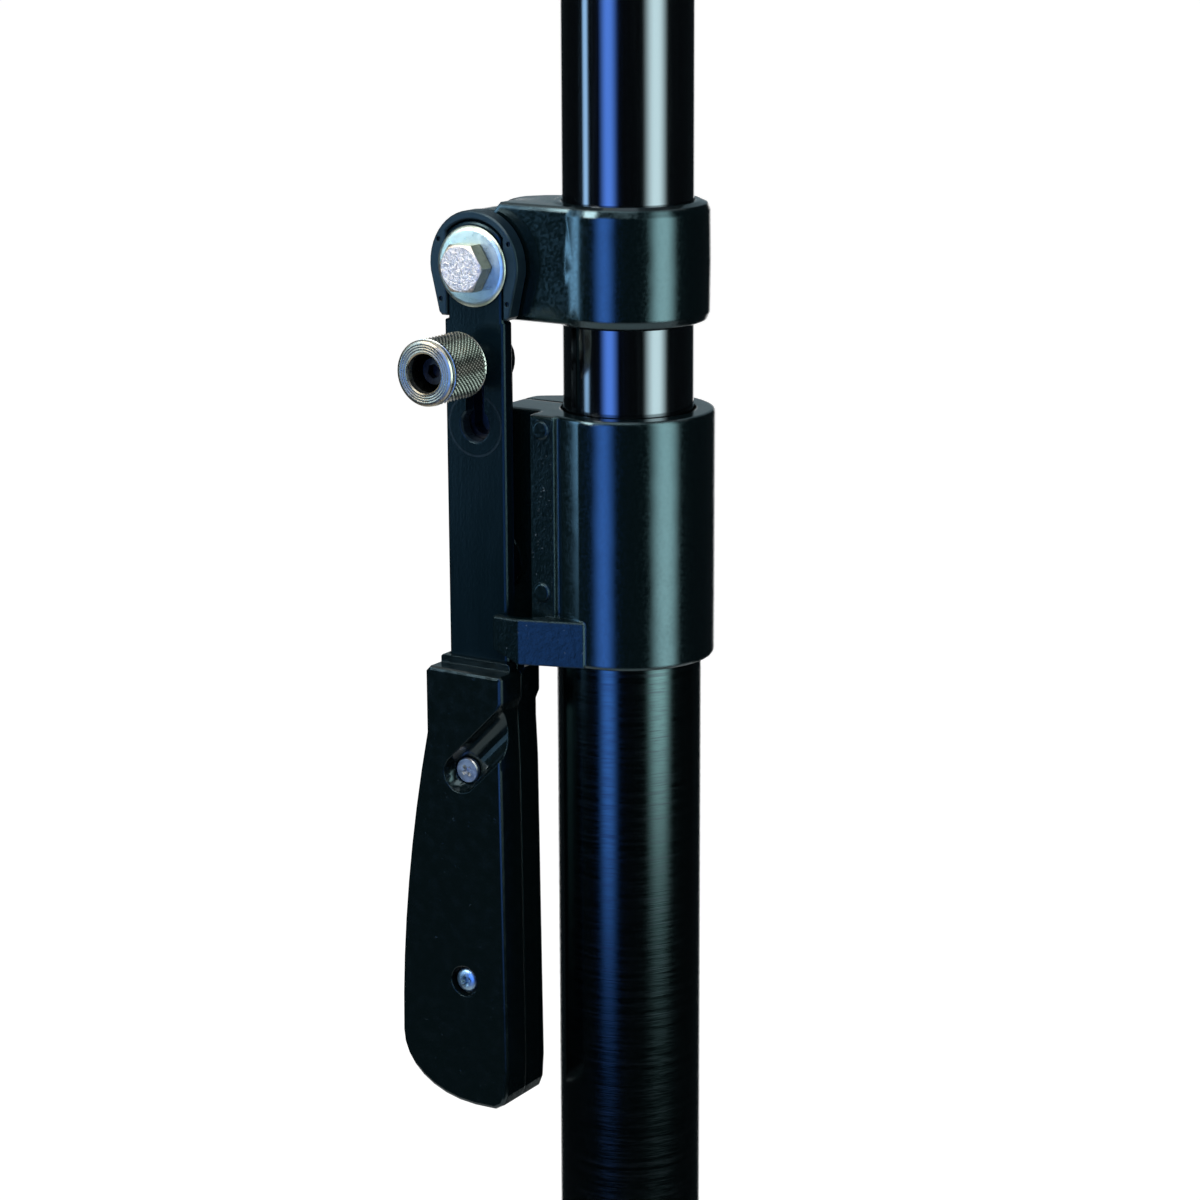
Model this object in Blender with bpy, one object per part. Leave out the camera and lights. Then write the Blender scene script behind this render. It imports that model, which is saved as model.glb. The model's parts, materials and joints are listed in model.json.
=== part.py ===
"""Floor-to-ceiling pole: two telescoping tubes between rubber feet, with a lever clamp.

Frame: metres, +Z up the pole, origin at the centre of the floor pad's underside. The clamp's
arms reach towards -X, and the lever's outer face, its bolt head and the knob look along -Y.
The pole is modelled closed, with the lever shut.
"""
import bpy
import bmesh
import math
from mathutils import Matrix, Vector

# Tubes
OUTER_TUBE_R = 0.0225
OUTER_TUBE_WALL = 0.0015
INNER_TUBE_R = 0.0200
INNER_TUBE_WALL = 0.0020
CLOSED_LENGTH = 1.500
EXTENSION = 1.120
TUBE_OVERLAP = 0.100
GLIDE_FLANGE_H = 0.0080
GLIDE_SPIGOT_H = 0.0180
GLIDE_BORE_R = 0.0120
GLIDE_BEVEL = 0.0006

# Fits, and how far a joined or cutting form runs past the face that it meets
TOUCH = 0.0003
SLIDE_FIT = 0.00015
PIN_FIT = 0.0003
OVERLAP = 0.0010
PIN_BEVEL = 0.0003
CUT_RELIEF = 0.0020
CUT_RUN_OUT = 0.0100

# Feet
PAD_R = 0.0500
PAD_H = 0.0118
PAD_WALL = 0.0036
PAD_FLOOR = 0.0063
PAD_GROOVES = (0.024, 0.033, 0.042)
PAD_GROOVE_W = 0.0018
PAD_GROOVE_DEPTH = 0.0012
PAD_EDGE_BEVEL = 0.0015
HUB_FLANGE_H = 0.0055
HUB_SOCKET_WALL = 0.0035
HUB_SOCKET_DEPTH = 0.0290
HUB_FLOOR_H = 0.0137
HUB_CONE_R = 0.0330
HUB_CONE_RISE = 0.0063
HUB_CONE_H = 0.0080
HUB_NECK_FLARE = 0.0015
HUB_NECK_RISE = 0.0120
HUB_SHOULDER_RUN = 0.0030
HUB_SHOULDER_RISE = 0.0015
HUB_SOCKET_SINK = 0.0090
HUB_LIP_BEVEL = 0.0010
HEAD_WELL_PLAY = 0.0015
PLUG_LENGTH = 0.0220
PLUG_BEVEL = 0.0010
FOOT_SCREW_R = 0.0040
FOOT_SCREW_LENGTH = 0.0240
FOOT_HEAD_AF = 0.0130
FOOT_HEAD_H = 0.0053

# Castings
UPPER_RING_R = 0.0249
UPPER_CASTING_H = 0.0367
LOWER_RING_R = 0.0266
LOWER_CASTING_H = 0.0769
CASTING_GAP = 0.0267
TUBE_SHOWING = 0.0763
RING_ROUND = 0.0030
EDGE_ROUND = 0.0013
BUSH_H = 0.0120
BUSH_LIP = 0.0025
LIP_PLAY = 0.0009

# Lever pivot and its bolt
PIVOT_X = -0.0363
PIVOT_DROP = 0.01925
LUG_R = 0.0165
LUG_FRONT_Y = -0.0240
LUG_THICKNESS = 0.0120
LUG_TOP_SINK = 0.0004
LUG_RIGHT_X = -0.0050
LUG_SHELF_X = -0.0310
LUG_FRONT_ROUND = 0.0016
LUG_BACK_ROUND = 0.0010
WEB_RIGHT_X = -0.0080
WEB_BACK_CORNER = ((WEB_RIGHT_X, 0.0020), (-0.0255, 0.0020), (-0.0270, 0.0002))
WEB_ROUND = 0.0010
WEB_TOP_SINK = 0.0008
WEB_LAP = 0.0020
ROOF_BACK_CORNER = ((WEB_RIGHT_X, 0.0026), (-0.0258, 0.0026), (-0.0300, 0.0), (-0.0342, -0.0050),
                    (-0.0348, -0.0090))
ROOF_LEFT_X = -0.0340
ROOF_ROUND = 0.0014
ROOF_LAP = 0.0025
RING_BELLY = 0.0002
BOLT_R = 0.0040
BOLT_AF = 0.0140
BOLT_HEAD_H = 0.0053
BOLT_CHAMFER_H = 0.0036
BOLT_FACE_INSET = 0.0003
BOLT_END_BEVEL = 0.0004
BOLT_TAIL = 0.0015
NUT_H = 0.0065
NUT_BEVEL = 0.0006
NUT_CLEAR_R = 0.0095
FRONT_WASHER_R = 0.0123
FRONT_WASHER_H = 0.0012
WASHER_BEVEL = 0.0003
REAR_WASHER_R = 0.0080
REAR_WASHER_H = 0.0016
SLIP_WASHER_R = 0.0115
SLIP_WASHER_H = 0.0009
BUSH_WALL = 0.0017

# Lever
LEVER_BACK_Y = -0.0255
LEVER_THICKNESS = 0.0045
LEVER_WIDTH = 0.0218
NECK_LEFT = 0.0095
NECK_RIGHT = 0.0103
NECK_END_R = 0.0136
SHOULDER_DROP = 0.0163
SHOULDER_BEVEL = 0.0006
TAIL_BEVEL = 0.0040
LEVER_CUT_DEPTHS = (0.0200, 0.0350)
LEVER_EDGE_ROUND = 0.0009
LEVER_BACK_ROUND = 0.0004
LEVER_TAIL_DROP = 0.2450
LEVER_OPEN_DEG = 66.0
COLLAR_DROP = 0.0221

# Keyhole slot, knob and stud
LINK_ARM = 0.0288
KNOB_TRAVEL = 0.0198
SLOT_WIDTH = 0.0070
KEYHOLE_R = 0.0050
KEYHOLE_CHAMFER = 0.0006
LINK_HUB_R = 0.0070
LINK_HUB_H = 0.0039
STUD_R = 0.0032
STUD_FLANGE_R = 0.0078
STUD_FLANGE_H = 0.0015
STUD_TONGUE_HALF = 0.0043
STUD_TONGUE_DROP = 0.0235
KNOB_R = 0.0101
KNOB_BORE_R = 0.0059
KNOB_NOSE_R = 0.0047
KNOB_NOSE_H = 0.0068
KNOB_BODY_H = 0.0192
KNOB_RIM_H = 0.0022
KNOB_RIM_CUT = 0.0005
KNOB_BACK_BEVEL = 0.0008
KNOB_WALL_H = 0.0047
KNOB_PULL = 0.0030
KNOB_SCREW_HEAD_R = 0.0043
KNOB_SCREW_HEAD_H = 0.0050
KNOB_SCREW_DEPTH = 0.0053
KNOB_SCREW_R = 0.0020
KNOB_SCREW_BEVEL = 0.0003
KNOB_SCREW_REACH = 0.0096
KNOB_HEX_AF = 0.0040
KNOB_HEX_DEPTH = 0.0024
STUD_HOLE_DEPTH = 0.0100
SPRING_WIRE_R = 0.00045
SPRING_R = 0.0040
SPRING_TURNS = 4.5

# Link
LINK_LENGTH = 0.0636
LINK_THICKNESS = 0.0040
LINK_WIDTH = 0.0160
LINK_EYE_R = 0.0090
LINK_FOOT_R = 0.0100
LINK_TURN_DEG = 24.4
ANCHOR_PIN_R = 0.0025
ANCHOR_BOSS_R = 0.0090
ANCHOR_BOSS_PROUD = 0.0004
ANCHOR_EYE_PLAY = 0.0014
ANCHOR_HOLE_Y = 0.0080
ANCHOR_HOLE_DEPTH = 0.0220
ANCHOR_PIN_SEAT = 0.0085
ANCHOR_PIN_PROUD = 0.0005

# Lower casting's arm
ARM_FRONT_Y = -0.0189
ARM_END_X = -0.0358
ARM_BACK_Y = 0.0040
SPLIT_Y = -0.0045
SPLIT_WIDTH = 0.0015
SPLIT_END_X = -0.0185
CLAMP_SCREW_X = -0.0295
CLAMP_SCREW_R = 0.0025
CLAMP_HEAD_R = 0.0042
CLAMP_HEAD_H = 0.0050
CLAMP_SEAT_Y = 0.0015
CLAMP_SCREW_INSET = 0.0150
CLAMP_SCREW_DEPTH = 0.0160
CLAMP_HOLE_DEPTH = 0.0165
CLAMP_WELL_Y = 0.0200
CLAMP_WELL_PLAY = 0.0006
CLAMP_SOCKET_R = 0.0020
CLAMP_SOCKET_DEPTH = 0.0025
CLAMP_HEAD_BEVEL = 0.0004
ARM_RING_X = -0.0240
ARM_RING_Y = 0.0115
ARM_BACK_CORNER = ((-0.0272, 0.0075), (-0.0325, ARM_BACK_Y), (-0.0352, 0.0018), (ARM_END_X, -0.0010))
CHEEK_FRONT_Y = -0.0262
CHEEK_LEFT_X = -0.0194
CHEEK_RIGHT_X = -0.0105
CHEEK_RING_X = -0.0099
CHEEK_RING_Y = -0.0249
CHEEK_STEP = 0.0015
CHEEK_BEVEL = 0.0008
PAD_SPOT_R = 0.0028
PAD_SPOT_INSET_TOP = 0.0045
PAD_SPOT_INSET_BOTTOM = 0.0220
PAD_SPOT_PROUD = 0.0005

# Guard ear in front of the lever's edge
EAR_H = 0.0145
EAR_END_H = 0.0106
EAR_THICKNESS = 0.0032
EAR_BEND_X = -0.0190
EAR_FRONT_Y = -0.0336
EAR_END_X = -0.0287
EAR_END_BEVEL = 0.0008
EAR_ROOT_X = 0.0006
EAR_ROOT_PROUD = 0.0006
EAR_BEND_EASE = 0.0004
EAR_INNER_X = -0.0140
EAR_SINK_Y = -0.0245
EAR_LIFT = 0.0003
EAR_EDGE_ROUND = 0.0005
EAR_CORNER = ((EAR_BEND_X - 0.0015, 0.0009), (EAR_END_X + 0.0018, EAR_H - EAR_END_H - 0.0004),
              (EAR_END_X - CUT_RELIEF, EAR_H - EAR_END_H + 0.0012))
EAR_CORNER_BACK_Y = -0.0285

# End shroud round the lever's neck
SHROUD_R = 0.0160
SHROUD_RISE = 0.0168
SHROUD_INNER_R = 0.0140
SHROUD_LEG_DROP = 0.0157
SHROUD_LEG_HALF = 0.0129
SHROUD_LEG_BEVEL = 0.0010
SHROUD_EDGE_ROUND = 0.0005
DIMPLES = ((-0.0125, 0.0074), (0.0129, 0.0074), (-0.0120, -0.0107), (0.0122, -0.0107))
DIMPLE_R = 0.0008
DIMPLE_DEPTH = 0.0009

# Grip
GRIP_HALF_THICKNESS = 0.0110
GRIP_TOP_DROP = 0.1244
GRIP_BOTTOM_DROP = 0.2677
GRIP_POLE_SIDE_X = -0.0220
GRIP_TOP_WIDTH = 0.0285
GRIP_PALM_WIDTH = 0.0400
GRIP_STRAIGHT = 0.0215
GRIP_TOP_BEVEL = 0.0010
GRIP_SIDE_BEVEL = 0.0015
GRIP_SWELL_STEPS = 8
GRIP_SWELL_POWER = 1.9
GRIP_HEEL_DROP = 0.0110
GRIP_HEEL_RUN = 0.0280
GRIP_HEEL_CORNER = ((-0.0045, 0.0003), (-0.0014, 0.0022), (-0.0001, 0.0055), (0.0004, 0.0133))
GRIP_POLE_SIDE = ((-0.0003, 0.0700), (-0.0007, 0.0300), (-0.0013, 0.0170), (-0.0013, 0.0115), (0, 0.0085))
GRIP_PALM_DROP = 0.2475
GRIP_EDGE_ROUND = 0.0011
GRIP_RIM_H = 0.0024
GRIP_RIM_WALL = 0.0019
GRIP_RIM_LAP = 0.0020
GRIP_RIM_BEVEL = 0.0006
GRIP_POCKET_PLAY = 0.0003
GRIP_SCREW_X = PIVOT_X - 0.0011
UPPER_SCREW_DROP = 0.1572
LOWER_SCREW_DROP = 0.2262
GRIP_SCREW_R = 0.0019
GRIP_SCREW_HEAD_R = 0.0040
TROUGH_R = 0.0061
TROUGH_LIFT = 0.0008
TROUGH_SHIFT = 0.0006
TROUGH_REACH = 0.0400
TROUGH_ANGLE_DEG = 45.0
COUNTERBORE_R = 0.0050
COUNTERBORE_DEPTH = 0.0035
HEAD_PLAY = 0.0004
BAR_HOLE_PLAY = 0.0005
UPPER_SEAT_LIFT = 0.0004
BACK_CUT_DEPTHS = (0.0195, 0.0350)
GRIP_CUT_DEPTHS = (0.0200, 0.0450)
GRIP_SCREW_TIP = 0.0200
FLAT_HEAD = ((0, 0.0012), (0.0003, 0.0015), (GRIP_SCREW_HEAD_R, 0.0016))
PAN_HEAD = ((0, 0.0014), (0.0004, 0.0021), (0.0013, 0.0025), (GRIP_SCREW_HEAD_R, 0.0027))

# Places worked out from the sizes above
TOP_FOOT_H = 0.0400
FOOT_Z = CLOSED_LENGTH - TOP_FOOT_H
UPPER_TOP_Z = FOOT_Z - TUBE_SHOWING
UPPER_BOTTOM_Z = UPPER_TOP_Z - UPPER_CASTING_H
LOWER_TOP_Z = UPPER_BOTTOM_Z - CASTING_GAP
LOWER_BOTTOM_Z = LOWER_TOP_Z - LOWER_CASTING_H
PIVOT_Z = UPPER_TOP_Z - PIVOT_DROP
LINK_Z = PIVOT_Z - LINK_ARM
ANCHOR_Z = LINK_Z - LINK_LENGTH
LEVER_FRONT_Y = LEVER_BACK_Y - LEVER_THICKNESS
LEVER_MID_Y = (LEVER_FRONT_Y + LEVER_BACK_Y) / 2
GRIP_FRONT_Y = LEVER_MID_Y - GRIP_HALF_THICKNESS
GRIP_BACK_Y = LEVER_MID_Y + GRIP_HALF_THICKNESS
LUG_BACK_Y = LUG_FRONT_Y + LUG_THICKNESS
OUTER_BORE_R = OUTER_TUBE_R - OUTER_TUBE_WALL
INNER_BORE_R = INNER_TUBE_R - INNER_TUBE_WALL
SEGMENTS = 44
FOOT_SEGMENTS = 32

BLACK_GLOSS = ("black_gloss", (0.010, 0.012, 0.016), 0.18, 0.0)
BLACK_SATIN = ("black_satin", (0.012, 0.013, 0.016), 0.30, 0.6)
BLACK_PAINT = ("black_paint", (0.009, 0.010, 0.013), 0.22, 0.0)
BLACK_PLASTIC = ("black_plastic", (0.011, 0.012, 0.015), 0.25, 0.0)
NAVY_PAINT = ("navy_paint", (0.012, 0.016, 0.030), 0.32, 0.0)
RUBBER = ("rubber", (0.018, 0.018, 0.019), 0.75, 0.0)
ZINC = ("zinc", (0.62, 0.66, 0.72), 0.32, 1.0)
NICKEL = ("nickel", (0.56, 0.55, 0.50), 0.30, 1.0)
STEEL = ("steel", (0.40, 0.41, 0.43), 0.38, 1.0)
BLACK_STEEL = ("black_steel", (0.03, 0.03, 0.035), 0.40, 0.8)
NYLON = ("nylon", (0.09, 0.09, 0.095), 0.50, 0.0)
BRONZE = ("bronze", (0.45, 0.30, 0.15), 0.40, 1.0)


def clear_scene():
    for old in list(bpy.data.objects):
        bpy.data.objects.remove(old, do_unlink=True)


def material(spec):
    name, colour, roughness, metallic = spec
    made = bpy.data.materials.get(name) or bpy.data.materials.new(name)
    made.use_nodes = True
    shader = made.node_tree.nodes["Principled BSDF"]
    shader.inputs["Base Color"].default_value = (*colour, 1.0)
    shader.inputs["Roughness"].default_value = roughness
    shader.inputs["Metallic"].default_value = metallic
    made.diffuse_color = (*colour, 1.0)
    return made


def empty(name, place, parent=None):
    made = bpy.data.objects.new(name, None)
    bpy.context.collection.objects.link(made)
    if parent:
        made.parent = parent
        made.location = Vector(place) - parent.matrix_world.translation
    else:
        made.location = place
    bpy.context.view_layer.update()
    return made


def add(name, bm, spec=None, parent=None):
    """Turn a bmesh in world coordinates into an object whose origin is its parent's."""
    bmesh.ops.remove_doubles(bm, verts=bm.verts, dist=1e-7)
    bmesh.ops.recalc_face_normals(bm, faces=bm.faces)
    mesh = bpy.data.meshes.new(name)
    if parent:
        bmesh.ops.translate(bm, verts=bm.verts, vec=-parent.matrix_world.translation)
    bm.to_mesh(mesh)
    bm.free()
    made = bpy.data.objects.new(name, mesh)
    bpy.context.collection.objects.link(made)
    made.parent = parent
    if spec:
        mesh.materials.append(material(spec))
        mesh.shade_smooth()
        mesh.set_sharp_from_angle(angle=math.radians(32))
    else:
        made.hide_render = True
        made.display_type = "WIRE"
    bpy.context.view_layer.update()
    return made


def combine(target, tool, operation="DIFFERENCE"):
    step = target.modifiers.new(operation.title(), "BOOLEAN")
    step.operation = operation
    step.solver = "EXACT"
    step.object = tool
    tool.hide_render = True
    tool.display_type = "WIRE"
    return target


AXIS_TURN = {
    "Z": Matrix.Identity(4),
    "-Y": Matrix.Rotation(math.radians(90), 4, "X"),
}


def turned(profile, axis="Z", centre=(0, 0, 0), segments=SEGMENTS):
    """Spin (radius, height) points round an axis; a point on the axis closes the end."""
    bm = bmesh.new()
    verts = [bm.verts.new((r, 0, h)) for r, h in profile]
    closed = all(r > 0 for r, _ in profile)
    pairs = list(zip(verts, verts[1:]))
    if closed:
        pairs.append((verts[-1], verts[0]))
    edges = [bm.edges.new(pair) for pair in pairs]
    bmesh.ops.spin(bm, geom=verts + edges, cent=(0, 0, 0), axis=(0, 0, 1), angle=math.tau,
                   steps=segments, use_merge=True)
    bmesh.ops.remove_doubles(bm, verts=bm.verts, dist=1e-7)
    bm.transform(Matrix.Translation(centre) @ AXIS_TURN[axis])
    return bm


def disc(radius, low, high, axis="Z", centre=(0, 0, 0), segments=32, chamfer=0.0):
    profile = [(0, low), (radius - chamfer, low), (radius, low + chamfer)]
    profile += [(radius, high - chamfer), (radius - chamfer, high), (0, high)]
    if not chamfer:
        profile = [(0, low), (radius, low), (radius, high), (0, high)]
    return turned(profile, axis, centre, segments)


def ring(inner, outer, low, high, axis="Z", centre=(0, 0, 0), segments=32, chamfer=0.0):
    profile = [(inner, low), (outer - chamfer, low), (outer, low + chamfer)]
    profile += [(outer, high - chamfer), (outer - chamfer, high), (inner, high)]
    if not chamfer:
        profile = [(inner, low), (outer, low), (outer, high), (inner, high)]
    return turned(profile, axis, centre, segments)


def arc(centre, radius, start, end, steps):
    """Points of an arc in a plane, from start to end in degrees."""
    span = [math.radians(start + (end - start) * i / steps) for i in range(steps + 1)]
    return [(centre[0] + radius * math.cos(a), centre[1] + radius * math.sin(a)) for a in span]


def slab(outline, low, high, plane="XY", round_low=0.0, round_high=0.0, steps=2):
    """Extrude an outline; plane XY goes up Z, and plane XZ goes along Y."""
    bm = bmesh.new()
    verts = [bm.verts.new((u, v, low)) for u, v in outline]
    bottom = bm.faces.new(verts)
    made = bmesh.ops.extrude_face_region(bm, geom=[bottom])
    top_verts = [item for item in made["geom"] if isinstance(item, bmesh.types.BMVert)]
    bmesh.ops.translate(bm, verts=top_verts, vec=(0, 0, high - low))
    bmesh.ops.recalc_face_normals(bm, faces=bm.faces)
    for level, width in ((low, round_low), (high, round_high)):
        if width:
            rim = [e for e in bm.edges if all(abs(v.co.z - level) < 1e-7 for v in e.verts)]
            bmesh.ops.bevel(bm, geom=rim, offset=width, segments=steps, profile=0.5,
                            affect="EDGES", clamp_overlap=True)
    if plane == "XZ":
        swap = Matrix(((1, 0, 0, 0), (0, 0, 1, 0), (0, 1, 0, 0), (0, 0, 0, 1)))
        bm.transform(swap)
        bmesh.ops.reverse_faces(bm, faces=bm.faces)
    return bm


def block(low, high):
    bm = bmesh.new()
    bmesh.ops.create_cube(bm, size=1.0)
    size = [b - a for a, b in zip(low, high)]
    middle = [(a + b) / 2 for a, b in zip(low, high)]
    bm.transform(Matrix.Translation(middle) @ Matrix.Diagonal((*size, 1.0)))
    return bm


def hexagon(across_flats, centre=(0, 0), turn=0.0):
    radius = across_flats / math.sqrt(3)
    return [(centre[0] + radius * math.cos(math.radians(turn + 60 * i)),
             centre[1] + radius * math.sin(math.radians(turn + 60 * i))) for i in range(6)]


def ring_profile(inner, outer, low, high, fillet, barrel=0.0):
    """Wall section of a cast ring with rounded outer edges and a slight belly."""
    edge = arc((outer - fillet, low + fillet), fillet, -90, 0, 2)
    middle = [(outer + barrel, (low + high) / 2)] if barrel else []
    edge_top = arc((outer - fillet, high - fillet), fillet, 0, 90, 2)
    return [(inner, low)] + edge + middle + edge_top + [(inner, high)]


def build_pad(name, parent, base_z, up):
    """Rubber cup over the foot's flange, with grip grooves in its flat face."""
    face = [(0, 0)]
    for r in PAD_GROOVES:
        face += [(r, 0), (r, PAD_GROOVE_DEPTH)]
        face += [(r + PAD_GROOVE_W, PAD_GROOVE_DEPTH), (r + PAD_GROOVE_W, 0)]
    rim_r = PAD_R - PAD_WALL
    outer = [(PAD_R - PAD_EDGE_BEVEL, 0), (PAD_R, PAD_EDGE_BEVEL), (PAD_R, PAD_H - PAD_EDGE_BEVEL)]
    inner = [(PAD_R - PAD_EDGE_BEVEL, PAD_H), (rim_r, PAD_H), (rim_r, PAD_FLOOR), (0, PAD_FLOOR)]
    profile = [(r, base_z + up * h) for r, h in face + outer + inner]
    add(name, turned(profile, segments=FOOT_SEGMENTS), RUBBER, parent)


def build_hub(name, parent, base_z, up, tube_r):
    """Cast foot: flange under the rubber rim, a cone, and a socket for the tube."""
    floor = PAD_FLOOR + TOUCH
    flange_r = PAD_R - PAD_WALL - TOUCH
    bore = tube_r + TOUCH
    neck = bore + HUB_SOCKET_WALL
    seat = HUB_FLOOR_H + HUB_CONE_RISE
    top = seat + HUB_SOCKET_DEPTH - HUB_SOCKET_SINK
    head_r = FOOT_HEAD_AF / math.sqrt(3) + HEAD_WELL_PLAY
    profile = [(FOOT_SCREW_R + PIN_FIT, HUB_FLOOR_H), (head_r, HUB_FLOOR_H), (head_r, floor)]
    profile += [(flange_r, floor), (flange_r, floor + HUB_FLANGE_H)]
    profile += [(flange_r - HUB_SHOULDER_RUN, floor + HUB_FLANGE_H + HUB_SHOULDER_RISE), (HUB_CONE_R, seat)]
    profile += [(neck + HUB_NECK_FLARE, seat + HUB_CONE_H), (neck, seat + HUB_NECK_RISE)]
    profile += [(neck, top - HUB_LIP_BEVEL), (neck - HUB_LIP_BEVEL, top), (bore, top), (bore, seat)]
    profile += [(FOOT_SCREW_R + PIN_FIT, seat)]
    points = [(r, base_z + up * h) for r, h in profile]
    add(name, turned(points, segments=FOOT_SEGMENTS), BLACK_PAINT, parent)
    return seat


def build_foot(side, parent, base_z, up, tube_r, bore_r):
    """One end of the pole: pad, hub, its screw and the plug inside the tube."""
    build_pad(f"{side}_pad", parent, base_z, up)
    seat = build_hub(f"{side}_foot", parent, base_z, up, tube_r)
    start = seat + TOUCH
    plug_r = bore_r - SLIDE_FIT
    hole = FOOT_SCREW_R + PIN_FIT
    plug = [(hole, start), (plug_r, start), (plug_r, start + PLUG_LENGTH - PLUG_BEVEL)]
    plug += [(plug_r - PLUG_BEVEL, start + PLUG_LENGTH), (hole, start + PLUG_LENGTH)]
    points = [(r, base_z + up * h) for r, h in plug]
    add(f"{side}_tube_plug", turned(points, segments=FOOT_SEGMENTS), NYLON, parent)
    head_top = HUB_FLOOR_H - TOUCH
    head_ends = sorted((base_z + up * (head_top - FOOT_HEAD_H), base_z + up * head_top))
    screw = add(f"{side}_foot_screw", slab(hexagon(FOOT_HEAD_AF), *head_ends), ZINC, parent)
    ends = sorted((base_z + up * (head_top - OVERLAP), base_z + up * (head_top + FOOT_SCREW_LENGTH)))
    shank = add(f"{side}_foot_screw_shank", disc(FOOT_SCREW_R, *ends, segments=20), parent=parent)
    combine(screw, shank, "UNION")
    return start


def build_outer_tube(parent, bottom):
    top = LOWER_TOP_Z - BUSH_LIP - TOUCH - BUSH_H - TOUCH
    profile = [(OUTER_BORE_R, bottom), (OUTER_TUBE_R, bottom), (OUTER_TUBE_R, top), (OUTER_BORE_R, top)]
    add("outer_tube", turned(profile), BLACK_SATIN, parent)


def build_guide_bush(parent):
    top = LOWER_TOP_Z - BUSH_LIP - TOUCH
    bush = ring(INNER_TUBE_R + SLIDE_FIT, OUTER_TUBE_R - SLIDE_FIT, top - BUSH_H, top, segments=SEGMENTS)
    add("guide_bush", bush, NYLON, parent)


def lower_plan():
    """Plan of the lower casting: ring, cheek, recessed arm and its rounded back corner."""
    start = math.degrees(math.atan2(CHEEK_RING_Y, CHEEK_RING_X))
    end = math.degrees(math.atan2(ARM_RING_Y, ARM_RING_X))
    plan = arc((0, 0), LOWER_RING_R, start, end, 28)
    plan += ARM_BACK_CORNER
    plan += [(ARM_END_X, ARM_FRONT_Y), (CHEEK_LEFT_X - CHEEK_STEP, ARM_FRONT_Y)]
    plan += [(CHEEK_LEFT_X, ARM_FRONT_Y - CHEEK_STEP), (CHEEK_LEFT_X, CHEEK_FRONT_Y + CHEEK_BEVEL)]
    plan += [(CHEEK_LEFT_X + CHEEK_BEVEL, CHEEK_FRONT_Y), (CHEEK_RIGHT_X, CHEEK_FRONT_Y)]
    return plan


def ear_plan():
    """The guard ear in plan: it leaves the ring at a slant, then runs along the lever."""
    outer = [(EAR_ROOT_X, -LOWER_RING_R - EAR_ROOT_PROUD), (EAR_BEND_X, EAR_FRONT_Y)]
    outer += [(EAR_END_X + EAR_END_BEVEL, EAR_FRONT_Y), (EAR_END_X, EAR_FRONT_Y + EAR_END_BEVEL)]
    inner_y = EAR_FRONT_Y + EAR_THICKNESS
    inner = [(EAR_END_X, inner_y), (EAR_BEND_X - EAR_BEND_EASE, inner_y), (EAR_INNER_X, CHEEK_FRONT_Y)]
    inner += [(EAR_INNER_X, EAR_SINK_Y), (EAR_ROOT_X, EAR_SINK_Y)]
    return outer + inner


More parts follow.
